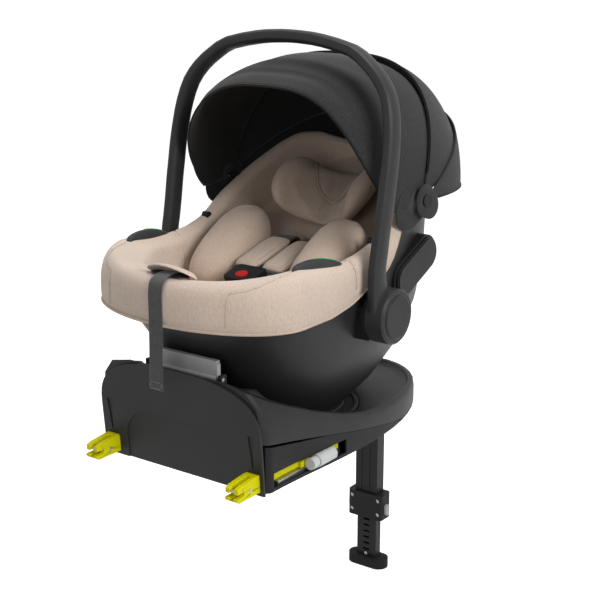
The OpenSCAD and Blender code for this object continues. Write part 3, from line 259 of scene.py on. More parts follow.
plastic("housing", (0.022, 0.022, 0.0225), 0.5)
plastic("housing_dark", (0.010, 0.010, 0.011), 0.55)
plastic("shell", (0.018, 0.018, 0.0185), 0.46)
plastic("handle", (0.026, 0.026, 0.0265), 0.44)
plastic("tube", (0.014, 0.014, 0.015), 0.4, grain=1400)
metal("steel", (0.42, 0.42, 0.43), 0.35)
plastic("lime", (0.62, 0.58, 0.0), 0.5, spread=0.04)
plastic("silver", (0.52, 0.53, 0.53), 0.35, specular=0.3)
plastic("light_grey", (0.38, 0.38, 0.385), 0.45, spread=0.05)
plastic("guide", (0.035, 0.036, 0.038), 0.5)
plastic("rubber", (0.012, 0.012, 0.012), 0.75, grain=900, depth=0.3)
plastic("red", (0.45, 0.02, 0.015), 0.4)
fabric("cover", (0.56, 0.45, 0.37), heather=0.07)
# Painted shade: the cover's cloth made darker, for the bolsters, the backrest pad and the harness pads, which
# lie in shade under the canopy. The hem binding and the headrest insert's stitches take it too.
fabric("inlay", (0.50, 0.39, 0.31), heather=0.07)
fabric("pillow", (0.43, 0.34, 0.28), heather=0.08)
fabric("hood", (0.022, 0.022, 0.0225), heather=0.24, sheen=0.14, pitch=0.0014)
fabric("lining", (0.008, 0.008, 0.008), heather=0.15, sheen=0.1)
fabric("piping", (0.006, 0.006, 0.006), heather=0.1, sheen=0.15, pitch=0.0011)
fabric("webbing", (0.014, 0.014, 0.015), heather=0.2, pitch=0.0012, rough=0.7)
fabric("strap", (0.05, 0.051, 0.052), heather=0.15, pitch=0.0012, rough=0.75)
plastic("green", (0.02, 0.38, 0.08), 0.5)


# ---- mesh helpers
def new_piece(name, points, faces, body, looks, picks=None, stands=()):
    """A smooth piece from points and faces. Picks says which of the looks each face has."""
    mesh = bpy.data.meshes.new(name)
    mesh.from_pydata([tuple(p) for p in points], [], [tuple(int(k) for k in f) for f in faces])
    mesh.validate()
    for look in looks:
        mesh.materials.append(LOOK[look])
    if picks is not None:
        mesh.polygons.foreach_set("material_index", picks)
    mesh.polygons.foreach_set("use_smooth", [True] * len(mesh.polygons))
    mesh.update()
    piece = bpy.data.objects.new(name, mesh)
    scene.collection.objects.link(piece)
    dress(piece, body, stands)
    return piece


def dress(piece, body, stands=()):
    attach(piece, body)
    if stands:
        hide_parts(*stands)


def grid_faces(rows, cols, start=0, wrap=False, flip=False):
    """Quads over a rows x cols grid of points, joined round the columns if wrap."""
    out = []
    for i in range(rows - 1):
        for j in range(cols if wrap else cols - 1):
            k = (j + 1) % cols
            row = start + i * cols
            quad = (row + j, row + k, row + cols + k, row + cols + j)
            out.append(quad[::-1] if flip else quad)
    return out


def closed_faces(rows, cols):
    """Faces of a tube of points with a cap on each end."""
    faces = grid_faces(rows, cols, wrap=True)
    faces.append(tuple(range(cols))[::-1])
    faces.append(tuple((rows - 1) * cols + k for k in range(cols)))
    return faces


def ring_faces(rows, cols, start=0):
    """Faces of a tube of points whose last row joins its first."""
    faces = grid_faces(rows, cols, start, wrap=True)
    last = start + (rows - 1) * cols
    for j in range(cols):
        k = (j + 1) % cols
        faces.append((last + j, last + k, start + k, start + j))
    return faces


def skin_faces(rows, cols):
    """Faces of two grids of points, one over the other, and of the wall round their edge."""
    n = rows * cols
    faces = grid_faces(rows, cols) + grid_faces(rows, cols, n, flip=True)
    edge = list(range(cols))
    edge += [i * cols + cols - 1 for i in range(1, rows)]
    edge += [(rows - 1) * cols + j for j in range(cols - 2, -1, -1)]
    edge += [i * cols for i in range(rows - 2, 0, -1)]
    faces += [(b, a, a + n, b + n) for a, b in zip(edge, edge[1:] + edge[:1])]
    return faces


def table(rows, at):
    """Value at a place, straight between the rows (place, value)."""
    xs, ys = zip(*rows)
    return np.interp(at, xs, ys)


def power(v, e):
    """A power that keeps the sign."""
    return np.sign(v) * np.abs(v) ** e


def turns(count):
    """Angles evenly round a circle."""
    return [2 * math.pi * k / count for k in range(count)]


def unit(v):
    """Vectors at length one."""
    return v / (np.linalg.norm(v, axis=-1, keepdims=True) + 1e-12)


def modifier(piece, name, kind, **values):
    made = piece.modifiers.new(name, kind)
    for key, value in values.items():
        setattr(made, key, value)
    return made


def tube(name, path, radius, body, look, sides=8, closed=False):
    """Round piping along a path of points."""
    path = np.asarray(path, float)
    n = len(path)
    ahead = np.roll(path, -1, 0) - np.roll(path, 1, 0)
    if not closed:
        ahead[0], ahead[-1] = path[1] - path[0], path[-1] - path[-2]
    ahead = unit(ahead)
    up = np.cross(ahead[0], (0.31, 0.52, 0.79))
    points = []
    for p, d in zip(path, ahead):
        up = unit(up - d * (up @ d))
        side = np.cross(d, up)
        for a in turns(sides):
            points.append(p + radius * (math.cos(a) * up + math.sin(a) * side))
    faces = ring_faces(n, sides) if closed else closed_faces(n, sides)
    new_piece(name, points, faces, body, [look])


# ---- the backrest's own frame
BACK_Y, BACK_Z, BACK_TILT = 270 * MM, 205 * MM, math.radians(31.3)
BACK_NORMAL = np.array([0.0, -math.sin(BACK_TILT), math.cos(BACK_TILT)])


def on_back(x, v, w):
    """A place on the reclined backrest: across, up the back and off it, in mm."""
    x, v, w = (np.asarray(t, float) * MM for t in (x, v, w))
    return np.stack(np.broadcast_arrays(
        x, BACK_Y + v * math.cos(BACK_TILT) - w * math.sin(BACK_TILT),
        BACK_Z + v * math.sin(BACK_TILT) + w * math.cos(BACK_TILT)), -1)


# ---- soft shaping
WELD = 0.00002
CLOTH_FRAMES = 20
CLOTH = {"quality": 5, "mass": 0.3, "tension_stiffness": 15.0, "compression_stiffness": 15.0,
         "shear_stiffness": 5, "bending_stiffness": 0.5, "use_pressure": True}


def cad_copy(name, source):
    """A new object with a welded copy of a frame node's mesh."""
    mesh = NODES[source].data.copy()
    mesh.materials.clear()
    made = bmesh.new()
    made.from_mesh(NODES[source].data)
    bmesh.ops.remove_doubles(made, verts=made.verts, dist=WELD)
    made.to_mesh(mesh)
    made.free()
    for layer in list(mesh.attributes):
        if layer.name in ("custom_normal", "sharp_face", "sharp_edge"):
            mesh.attributes.remove(layer)
    mesh.update()
    piece = bpy.data.objects.new(name, mesh)
    scene.collection.objects.link(piece)
    return piece


def shown(piece):
    """A piece as its modifiers leave it."""
    bpy.context.view_layer.update()
    return piece.evaluated_get(bpy.context.evaluated_depsgraph_get())


def bake(piece):
    """Applies a piece's modifiers to its mesh."""
    mesh = bpy.data.meshes.new_from_object(shown(piece))
    piece.modifiers.clear()
    piece.data = mesh


def vectors(rows, field):
    """One vector of each vertex or normal, as rows of an array."""
    out = np.empty(len(rows) * 3)
    rows.foreach_get(field, out)
    return out.reshape(-1, 3)


def points_of(mesh):
    return vectors(mesh.vertices, "co")


def normals_of(mesh):
    return vectors(mesh.vertex_normals, "vector")


def set_points(mesh, points):
    mesh.vertices.foreach_set("co", np.ascontiguousarray(points, float).ravel())
    mesh.update()


def even_out(mesh, rounds):
    """Moves each point halfway to the middle of its neighbours, some rounds over."""
    edges = np.empty(len(mesh.edges) * 2, int)
    mesh.edges.foreach_get("vertices", edges)
    edges = edges.reshape(-1, 2)
    points = points_of(mesh)
    count = np.bincount(edges.ravel(), minlength=len(points))[:, None].clip(1)
    for _ in range(rounds):
        total = np.zeros_like(points)
        for axis in range(3):
            total[:, axis] = (np.bincount(edges[:, 0], points[edges[:, 1], axis], len(points))
                              + np.bincount(edges[:, 1], points[edges[:, 0], axis], len(points)))
        points += 0.5 * (total / count - points)
    set_points(mesh, points)


def remesh(piece, voxel):
    modifier(piece, "remesh", "REMESH", mode="VOXEL", voxel_size=voxel * MM, use_smooth_shade=True)
    bake(piece)


def inflate(piece, cap, pressure):
    """Lets a closed cloth skin fill with air, and keeps each point within cap mm of its start."""
    start = points_of(piece.data)
    mod = piece.modifiers.new("cloth", "CLOTH")
    for key, value in CLOTH.items():
        setattr(mod.settings, key, value)
    mod.settings.uniform_pressure_force = pressure
    mod.settings.effector_weights.gravity = 0
    mod.collision_settings.use_collision = False
    mod.point_cache.frame_start = 1
    mod.point_cache.frame_end = CLOTH_FRAMES
    for frame_number in range(1, CLOTH_FRAMES + 1):
        scene.frame_set(frame_number)
    moved = points_of(shown(piece).data) - start
    piece.modifiers.clear()
    scene.frame_set(1)
    far = np.linalg.norm(moved, axis=1)[:, None]
    limit = cap * MM
    set_points(piece.data, start + moved * np.where(far > limit, limit / np.maximum(far, 1e-9), 1))


def subdivide(piece):
    modifier(piece, "subdivision", "SUBSURF", levels=1, render_levels=1)
    bake(piece)


def puff(piece, cap, pressure):
    """Fills an even skin with air, evens it out and rounds it off."""
    inflate(piece, cap, pressure)
    even_out(piece.data, 1)
    subdivide(piece)


def shrink(mesh, amount):
    """Moves every point inwards by some mm."""
    set_points(mesh, points_of(mesh) - normals_of(mesh) * amount * MM)


def path_distance(points, path):
    """Distance of each point to a polyline, and how far along the line its nearest place is."""
    best = np.full(len(points), 1e9)
    along = np.zeros(len(points))
    run = 0.0
    for a, b in zip(path[:-1], path[1:]):
        d = b - a
        length = np.linalg.norm(d)
        t = np.clip(((points - a) @ d) / (length ** 2), 0, 1)
        far = np.linalg.norm(points - (a + t[:, None] * d), axis=1)
        near = far < best
        best[near] = far[near]
        along[near] = run + t[near] * length
        run += length
    return best, along


def carve(piece, path, depth, width, pucker, pitch):
    """Presses a sewn channel into a padded piece along a path, with puckers pitch mm apart."""
    mesh = piece.data
    points = points_of(mesh)
    normals = normals_of(mesh)
    path = np.asarray(path, float)
    low, high = path.min(0) - 5 * width * MM, path.max(0) + 5 * width * MM
    near = np.all((points > low) & (points < high), axis=1)
    if not near.any():
        return
    far, along = path_distance(points[near], path)
    push = depth * np.exp(-(far / (width * MM)) ** 2)
    push = push + pucker * np.exp(-(far / (2.2 * width * MM)) ** 2) * np.sin(along / MM * 2 * math.pi / pitch)
    points[near] -= normals[near] * (push * MM)[:, None]
    set_points(mesh, points)


def smooth_path(marks, steps=6):
    """Catmull-Rom curve through marks."""
    marks = np.asarray(marks, float)
    out = []
    n = len(marks)
    for i in range(n - 1):
        p = [marks[min(max(i + k, 0), n - 1)] for k in (-1, 0, 1, 2)]
        for t in np.linspace(0, 1, steps, endpoint=False):
            out.append(0.5 * (2 * p[1] + (p[2] - p[0]) * t + (2 * p[0] - 5 * p[1] + 4 * p[2] - p[3]) * t ** 2
                              + (3 * p[1] - p[0] - 3 * p[2] + p[3]) * t ** 3))
    out.append(marks[-1])
    return np.array(out)


def settle(piece, path, lift=0.0):
    """Moves a path onto a piece's surface, and lifts it off by some mm."""
    skin = shown(piece)
    out, lifts = [], []
    for p in path:
        _, place, normal, _ = skin.closest_point_on_mesh(Vector(p))
        out.append(place[:])
        lifts.append(normal[:])
    return np.array(out) + np.array(lifts) * lift * MM


def calm(path, rounds=3):
    """Evens out the small steps of a path."""
    path = np.array(path, float)
    for _ in range(rounds):
        path[1:-1] = 0.25 * path[:-2] + 0.5 * path[1:-1] + 0.25 * path[2:]
    return path


THREAD_SIDES = 5


def stitches(name, paths, body, look, pitch=4.2, length=2.6, radius=0.42):
    """A row of short raised threads along each path, thin at both ends."""
    points, faces = [], []
    for path in paths:
        path = np.asarray(path, float)
        steps = np.linalg.norm(np.diff(path, axis=0), axis=1)
        run = np.concatenate([[0], np.cumsum(steps)])
        for s in np.arange(pitch * MM, run[-1] - pitch * MM, pitch * MM):
            ends = []
            for k in (-0.5, 0, 0.5):
                ends.append(np.array([np.interp(s + k * length * MM, run, path[:, a]) for a in range(3)]))
            ahead = unit(ends[2] - ends[0])
            side = unit(np.cross(ahead, (0.3, 0.5, 0.8)))
            up = np.cross(side, ahead)
            base = len(points)
            for p, r in zip(ends, (0.35, 1.0, 0.35)):
                for a in turns(THREAD_SIDES):
                    points.append(p + radius * MM * r * (math.cos(a) * side + math.sin(a) * up))
            faces += [tuple(base + k for k in f) for f in closed_faces(len(ends), THREAD_SIDES)]
    new_piece(name, points, faces, body, [look])


def finish_soft(piece, look):
    """One look on the whole of a reshaped piece, shaded smooth."""
    mesh = piece.data
    mesh.materials.clear()
    mesh.materials.append(LOOK[look])
    mesh.polygons.foreach_set("use_smooth", [True] * len(mesh.polygons))
    mesh.update()


# ---- seat cover
# Height of the rim's crest and of the hem, each against the place from foot to head, in mm.
CREST = [(-6, 300), (20, 304), (60, 311), (110, 318), (160, 312), (218, 306), (270, 311), (312, 321),
         (353, 348), (400, 373), (447, 398), (500, 426), (532, 439), (560, 440), (600, 420), (630, 412)]
HEM = [(-6, 233), (172, 233), (225, 241), (275, 258), (325, 274), (349, 298), (366, 330), (412, 348),
       (500, 385), (540, 398), (600, 400), (630, 400)]
# In plan the rim is a power curve round the head. Towards the foot it has straight sides for SIDE_TURN
# degrees and SIDE_RUN of the way, and then half an ellipse.
RIM_MID, HEAD_POWER = 300.0, 2.35
SIDE_TURN, SIDE_RUN = 30, 0.64
COVER_COLS, WALL_ROWS, FLOOR_ROWS = 300, 18, 26
COVER_CLOTH, WALL_DROP = 3.2, 6
COVER_ROLL = [
    # half width, foot end, head end, share of the way up from hem to crest, drop
    (184.5, -3, 617, 0.02, 0), (187, -5.5, 619.5, -0.01, 0), (188.6, -7.6, 621.6, 0.02, 0),
    (189, -8, 622, 0.08, 0), (189.2, -8.4, 622.4, 0.16, 0), (189.4, -8.7, 622.8, 0.28, 0),
    (189.4, -8.7, 622.9, 0.42, 0), (189, -8.3, 623, 0.56, 0), (187.6, -7, 622, 0.7, 0),
    (185, -4.5, 619.5, 0.83, 0), (181.5, -1, 616, 0.93, 0), (177, 4.5, 611.5, 0.985, 0),
    (172, 10, 607, 1.0, 0), (167, 15.5, 602.5, 1.0, 0.6), (162.5, 21, 598, 1.0, 3),
]
SEAM_SIDE, STITCH_OFF = 122.5, 3.4
# Height of the seat's floor from the foot to where the backrest takes over.
FLOOR = [(30, 300), (60, 268), (90, 240), (135, 214), (180, 199), (225, 196), (270, 205)]
# The hollow that the child sits in, by height: half width, foot end and head end.
HOLLOW = [(120, 104, 110, 470), (180, 134, 90, 530), (250, 150, 52, 570), (330, 156, 30, 588),
          (600, 158, 26, 592)]
HOLLOW_FOOT_POWER, HOLLOW_HEAD_POWER = 2.4, 2.5
SEAT_MIDDLE = 250


def rim_point(half, foot, head, angle, share, drop=0.0):
    """A place on the cover's roll: angle round the plan, share up from hem to crest."""
    u = math.radians(angle)
    if math.sin(u) >= 0:
        x = float(power(math.cos(u), 2 / HEAD_POWER))
        y = RIM_MID + float(power(math.sin(u), 2 / HEAD_POWER)) * (head - RIM_MID)
    else:
        s = 90 - abs(270 - angle)
        if s < SIDE_TURN:
            x = 1
            y = SIDE_RUN * s / SIDE_TURN
        else:
            turn = math.radians((s - SIDE_TURN) * 90 / (90 - SIDE_TURN))
            x = math.cos(turn)
            y = SIDE_RUN + (1 - SIDE_RUN) * math.sin(turn)
        if angle < 270:
            x = -x
        y = RIM_MID - y * (RIM_MID - foot)
    low, high = table(HEM, y), table(CREST, y)
    return np.array([half * x, y, low + (high - low) * share - drop]) * MM


def floor_height(y):
    if y < BACK_Y / MM:
        return float(table(FLOOR, y))
    return (BACK_Z + (y * MM - BACK_Y) * math.tan(BACK_TILT)) / MM


def hollow_point(angle, z):
    """A place on the wall of the hollow that the child sits in, in mm."""
    level = [row[0] for row in HOLLOW]
    half, low, high = (np.interp(z, level, [row[k] for row in HOLLOW]) for k in (1, 2, 3))
    c, s = math.cos(math.radians(angle)), math.sin(math.radians(angle))
    n = HOLLOW_FOOT_POWER if s < 0 else HOLLOW_HEAD_POWER
    reach = RIM_MID - low if s < 0 else high - RIM_MID
    return half * float(power(c, 2 / n)), RIM_MID + reach * float(power(s, 2 / n))


def cover_column(angle):
    """One line of the cover, from inside its hem up over the rim and down to the middle of the seat."""
    line = [rim_point(half, foot, head, angle, share, drop) for half, foot, head, share, drop in COVER_ROLL]
    top = line[-1][2] / MM - WALL_DROP
    low, under = top, 120.0
    # halve the way down to where the wall meets the floor
    for _ in range(12):
        z = (low + under) / 2
        if z > floor_height(hollow_point(angle, z)[1]):
            low = z
        else:
            under = z
    for t in np.linspace(0, 1, WALL_ROWS):
        z = top + (low - top) * t
        x, y = hollow_point(angle, z)
        line.append(np.array((x, y, z)) * MM)
    x, y = hollow_point(angle, low)
    for t in np.linspace(0, 1, FLOOR_ROWS)[1:-1]:
        along = y + (SEAT_MIDDLE - y) * t
        line.append(np.array((x * (1 - t), along, floor_height(along))) * MM)
    return line


def add_cover():
    """The quilted cover: hem, roll over the rim, walls and floor of the hollow in one cloth."""
    cols = COVER_COLS
    lines = [cover_column(360 * k / cols + 0.01) for k in range(cols)]
    rows = len(lines[0])
    points = [lines[j][i] for i in range(rows) for j in range(cols)]
    faces = grid_faces(rows, cols, wrap=True)
    first, last = (rows - 1) * cols, rows * cols - 1
    faces += [(first + j, first + j + 1, last - 1 - j, last - j) for j in range(cols // 2 - 1)]
    piece = new_piece("cover_quilted", points, faces, "carrier", ["cover"],
                      stands=["seat_cover"])
    even_out(piece.data, 3)
    modifier(piece, "thick", "SOLIDIFY", thickness=COVER_CLOTH * MM, offset=-1)
    bake(piece)
    subdivide(piece)
    carve_cover(piece)
    finish_soft(piece, "cover")
    return piece


def cover_seams():
    """Seam paths of the cover: down the front, along the rim, across it and behind the headrest."""
    seams = []
    for side in (-1, 1):
        front = [(SEAM_SIDE, 14, 300), (SEAM_SIDE, 4, 301), (SEAM_SIDE, -5, 292), (SEAM_SIDE, -9, 270),
                 (SEAM_SIDE, -9, 235)]
        rim = [(SEAM_SIDE, 2, 301), (136, 16, 303), (150, 42, 306), (158, 72, 311), (162, 112, 316)]
        over = [(190, 238, 262), (188, 238, 290), (176, 236, 308), (161, 233, 302), (152, 231, 270),
                (148, 230, 238)]
        for marks in (front, rim, over):
            seams.append(smooth_path(np.array(marks) * (side, 1, 1) * MM))
    behind = [(118, 520, 428), (112, 500, 408), (104, 470, 380), (96, 446, 352)]
    seams.append(smooth_path(np.array(behind) * MM))
    return seams


def hem_path(lift):
    """Round the foot half of the cover, a share up from its hem."""
    return np.array([rim_point(190.5, -9, 624, a, lift) for a in np.linspace(180, 360, 120)])


def hem_ring(lift):
    """All round the cover, a share up from its hem."""
    around = np.linspace(0, 360, 200, endpoint=False)
    return np.array([rim_point(188.2, -7.2, 621.2, a, lift) for a in around])


def carve_cover(piece):
    """Sewn channels along the seams and the hem, and slack in the cloth between them."""
    for path in cover_seams():
        carve(piece, path, 2.6, 3.0, 0.35, 11)
    carve(piece, hem_path(0.07), 1.6, 2.4, 0.2, 13)
    points = points_of(piece.data)
    normals = normals_of(piece.data)
    slack = (0.9 * np.sin(points[:, 0] * 31 + 2.1 * np.sin(points[:, 1] * 23))
             * np.sin(points[:, 1] * 27 + 1.4 * np.sin(points[:, 2] * 35)))
    set_points(piece.data, points + normals * (slack * MM)[:, None] * 0.7)


def add_cover_trim(cover):
    """A thread in each seam, a row of stitches each side of it, and the hem's binding."""
    rows = []
    for number, path in enumerate(cover_seams()):
        on = settle(cover, path, -0.15)
        tube("cover_seam_%d" % number, on, 0.75 * MM, "carrier", "pillow", sides=6)
        ahead = unit(np.gradient(on, axis=0))
        off = unit(np.cross(ahead, on - np.array((0, RIM_MID, 330)) * MM))
        rows += [settle(cover, on + off * shift * MM, 0.1) for shift in (-STITCH_OFF, STITCH_OFF)]
    rows.append(settle(cover, hem_path(0.17), 0.1))
    stitches("cover_stitches", rows, "carrier", "pillow", radius=0.35)
    tube("cover_hem_binding", hem_ring(0.015), 2.1 * MM, "carrier", "inlay", closed=True)


# ---- cushions inside the seat
SIDES = ((-1, "left"), (1, "right"))
BELT_SIDE = 27
WING_TURN, WING_STEPS, WING_RING = 72, 56, 36
# The headrest's middle height, half its height, half its thickness, its radius and the centre of its curve.
HEAD_MIDDLE, HEAD_TALL, HEAD_DEEP, HEAD_CORE, HEAD_ARC = 239, 66, 8.5, 105.5, 119
PILLOW_TOP, PILLOW_FOOT, PILLOW_RADIUS = 296, 223.6, 90
PILLOW_ROWS, PILLOW_COLS = 26, 30
PILLOW_CROWN, PILLOW_SUNK, PILLOW_DEEP = 5.5, 0.6, 3
# The pillow's edge on one side: degrees round the headrest and height up the back.
PILLOW_EDGE = [(-42, 284), (-38, 266), (-31, 251), (-22, 237), (-12, 227)]
# Degrees that the pillow reaches to each side, by height up the back.
PILLOW_REACH = [(223, 0), (226.5, 12), (236, 22), (249, 31), (262, 38), (276, 43), (290, 46)]


def add_cushion(name, source, voxel, smaller, cap, pressure, drawn=0.0):
    """A cushion puffed up from its solid, and drawn towards the seat's foot by a share of its length."""
    piece = cad_copy(name, source)
    if drawn:
        points = points_of(piece.data)
        down = np.array([0.0, math.cos(BACK_TILT), math.sin(BACK_TILT)])
        run = points @ down
        set_points(piece.data, points - np.outer((run.max() - run) * drawn, down))
    remesh(piece, voxel)
    even_out(piece.data, 8)
    shrink(piece.data, smaller)
    puff(piece, cap, pressure)
    # The cushion takes the darker copy of the cover's cloth: painted shade.
    finish_soft(piece, "inlay")
    dress(piece, "carrier", [source])
    return piece


def add_inside():
    """The newborn insert, the headrest and the harness pads."""
    round_turn = np.radians(np.arange(0, 361, 12))
    for side, word in SIDES:
        bolster = add_cushion("bolster_%s_soft" % word, "bolster_" + word, 4.5, 0.5, 7, 4.0,
                              drawn=0.2)
        seam = on_back(side * 128, 68 + 83 * np.cos(round_turn), 46 + 49 * np.sin(round_turn))
        carve(bolster, seam, 1.6, 2.4, 0.4, 8)
    pad = add_cushion("backrest_pad_soft", "backrest_pad", 4.0, 1.0, 4, 3.0)
    carve(pad, on_back(0, np.linspace(0, 124, 30), 13), 2.2, 3.0, 0.3, 9)
    add_pillow(add_headrest())
    for side, word in SIDES:
        add_harness_pad("harness_pad_" + word, side * BELT_SIDE, ["harness_pads"] if side < 0 else ())


def head_point(turn, v, radius):
    """A place on the headrest's curve: degrees round from the middle, height up the back, radius in mm."""
    a = math.radians(turn)
    return on_back(radius * math.sin(a), v, HEAD_ARC - radius * math.cos(a)).ravel()


def add_headrest():
    """Plump wrap-round cushion with an oval wing each side."""
    points = []
    for turn in np.linspace(-WING_TURN, WING_TURN, WING_STEPS):
        share = abs(turn) / WING_TURN
        rise = share * share * (3 - 2 * share)
        end = max(0.04, math.sqrt(max(0.0, 1 - max(0.0, (share - 0.55) / 0.45) ** 2.3)))
        middle = HEAD_MIDDLE - 16 * rise
        tall = (HEAD_TALL - 4 * rise) * end
        deep = (HEAD_DEEP + 10 * rise) * end ** 0.6
        core = HEAD_CORE - 17 * rise
        for a in turns(WING_RING):
            v = middle + tall * power(math.cos(a), 0.78)
            points.append(head_point(turn, v, core + deep * power(math.sin(a), 0.78)))
    piece = new_piece("headrest_padding", points, closed_faces(WING_STEPS, WING_RING), "headrest",
                      ["cover"], stands=["headrest_cushion", "headrest_back"])
    even_out(piece.data, 2)
    remesh(piece, 4.2)
    even_out(piece.data, 3)
    puff(piece, 5, 3.0)
    finish_soft(piece, "cover")
    return piece


def add_pillow(headrest):
    """The headrest's pillow: its own cloth inside a seam, a little proud, with piping and a stitched line."""
    rim = PILLOW_EDGE + [(0, PILLOW_FOOT - 0.6)] + [(-t, v) for t, v in PILLOW_EDGE[::-1]]
    seam = settle(headrest, smooth_path([head_point(t, v, PILLOW_RADIUS) for t, v in rim]))
    carve(headrest, seam, 1.4, 3.4, 0.2, 8)
    grid, crown = [], []
    for down in np.linspace(-1, 1, PILLOW_ROWS):
        v = PILLOW_TOP + (PILLOW_FOOT - PILLOW_TOP) * (down + 1) / 2
        reach = float(table(PILLOW_REACH, v))
        for across in np.linspace(-1, 1, PILLOW_COLS):
            grid.append(head_point(reach * across, v, PILLOW_RADIUS))
            crown.append(PILLOW_CROWN * (1 - abs(across) ** 3) * (1 - down ** 4) - PILLOW_SUNK)
    lie = settle(headrest, grid)
    top = lie + BACK_NORMAL * np.array(crown)[:, None] * MM
    under = lie - BACK_NORMAL * PILLOW_DEEP * MM
    faces = [f[::-1] for f in skin_faces(PILLOW_ROWS, PILLOW_COLS)]
    insert = new_piece("headrest_insert", list(top) + list(under), faces, "headrest", ["pillow"],
                       stands=["headrest_pillow"])
    subdivide(insert)
    finish_soft(insert, "pillow")
    edge = calm(seam + BACK_NORMAL * 1.2 * MM, 6)
    tube("headrest_insert_piping", edge, 1.2 * MM, "headrest", "pillow")
    inner = smooth_path([head_point(t * 0.88, 258 + (v - 258) * 0.88, 88) for t, v in rim[1:-1]])
    stitches("headrest_insert_stitches", [calm(settle(insert, inner, 0.15))], "headrest", "inlay")


def add_harness_pad(name, middle, stands):
    """Padded sleeve round a shoulder belt, with a sewn line along each side."""
    slope = (34 - 72) / 122.0
    rows, ring = 40, 28
    points = []
    for t in np.linspace(-1, 1, rows):
        end = max(0.12, (1 - min(1.0, abs(t)) ** 5) ** 0.4)
        run = 57 + 52 * t
        for a in turns(ring):
            across = middle + 23.5 * end ** 0.35 * power(math.cos(a), 0.7)
            lift = 8.4 * end * power(math.sin(a), 0.75) + 1.2
            points.append(on_back(across, run - 4, 73 + slope * run + lift).ravel())
    # The pad takes the darker copy of the cover's cloth: painted shade.
    piece = new_piece(name, points, closed_faces(rows, ring), "carrier", ["inlay"],
                      stands=stands)
    remesh(piece, 2.6)
    even_out(piece.data, 3)
    puff(piece, 3, 3.0)
    finish_soft(piece, "inlay")
    threads = []
    run = np.linspace(10, 104, 40)
    for off in (-17.5, 17.5):
        line = settle(piece, on_back(middle + off, run - 4, 84 + slope * run))
        carve(piece, line, 1.2, 1.8, 0.25, 6)
        threads.append(settle(piece, line, 0.1))
    stitches(name + "_stitches", threads, "carrier", "pillow", radius=0.32)


# ---- webbing and flap
# Section of a webbing from one selvedge to the other: share of half the width, share of half the thickness.
SELVEDGE = [(-1, 0.15), (-0.97, 0.75), (-0.9, 0.95), (-0.6, 0.85), (0, 0.8), (0.6, 0.85), (0.9, 0.95),
            (0.97, 0.75), (1, 0.15)]
# Shoulder belt: height up the back and height off it. It ends in its slot in the backrest.
BELT = [(-4, 72.9), (30, 62.3), (60, 53), (90, 43.6), (116, 35.4), (122.5, 30), (124.7, 20), (124.9, 8),
        (124.9, 0.4)]
CROTCH = [(-41, 15.2), (-38, 35), (-33, 58), (-31, 67)]
# Pull strap: out of the flap's mouth, over the front edge and down.
HANG = [(30, 306.6), (18, 306.4), (5, 304.4), (-5.6, 297.6), (-9.4, 284), (-9.7, 262), (-9.8, 240),
        (-10.6, 200), (-12, 160), (-12, 134.2)]
FLAP_HALF, FLAP_MIDDLE, FLAP_DEEP, FLAP_Z = 44, 29, 21, 305.5
FLAP_ARCH, FLAP_THICK = 14, 4.6
FLAP_ROWS, FLAP_COLS = 22, 40


def ribbon(name, path, width, thick, finish, stands=()):
    """Flat webbing along a path, with softly rounded selvedges."""
    across = np.array((1.0, 0, 0))
    up = unit(np.cross(across, unit(np.gradient(path, axis=0))))
    ring = SELVEDGE + [(s, -h) for s, h in SELVEDGE[::-1]]
    points = []
    for p, u in zip(path, up):
        points += [p + (across * s * width + u * h * thick) / 2 * MM for s, h in ring]
    faces = closed_faces(len(path), len(ring))
    new_piece(name, points, faces, "carrier", [finish], stands=stands)


def add_webbing():
    """Shoulder belts, crotch belt and the adjuster's pull strap with its sewn end."""
    for side, word in SIDES:
        path = smooth_path([on_back(side * BELT_SIDE, v, w) for v, w in BELT])
        ribbon("shoulder_belt_" + word, path, 38, 1.8, "webbing", ["harness_webbing"] if side < 0 else ())
    ribbon("crotch_belt", smooth_path([on_back(0, v, w) for v, w in CROTCH]), 30, 1.8, "webbing")
    hang = smooth_path([(0, y * MM, z * MM) for y, z in HANG], 8)
    ribbon("pull_strap", hang, 26, 1.9, "strap", ["adjuster_strap"])
    box = [np.array((x, -13.4, z)) * MM for z in (146, 136) for x in (-11, 11)]
    stitches("pull_strap_stitches", [[box[0], box[1]], [box[2], box[3]], [box[0], box[2]], [box[1], box[3]]],
             "carrier", "light_grey", pitch=3.0, length=2.0)


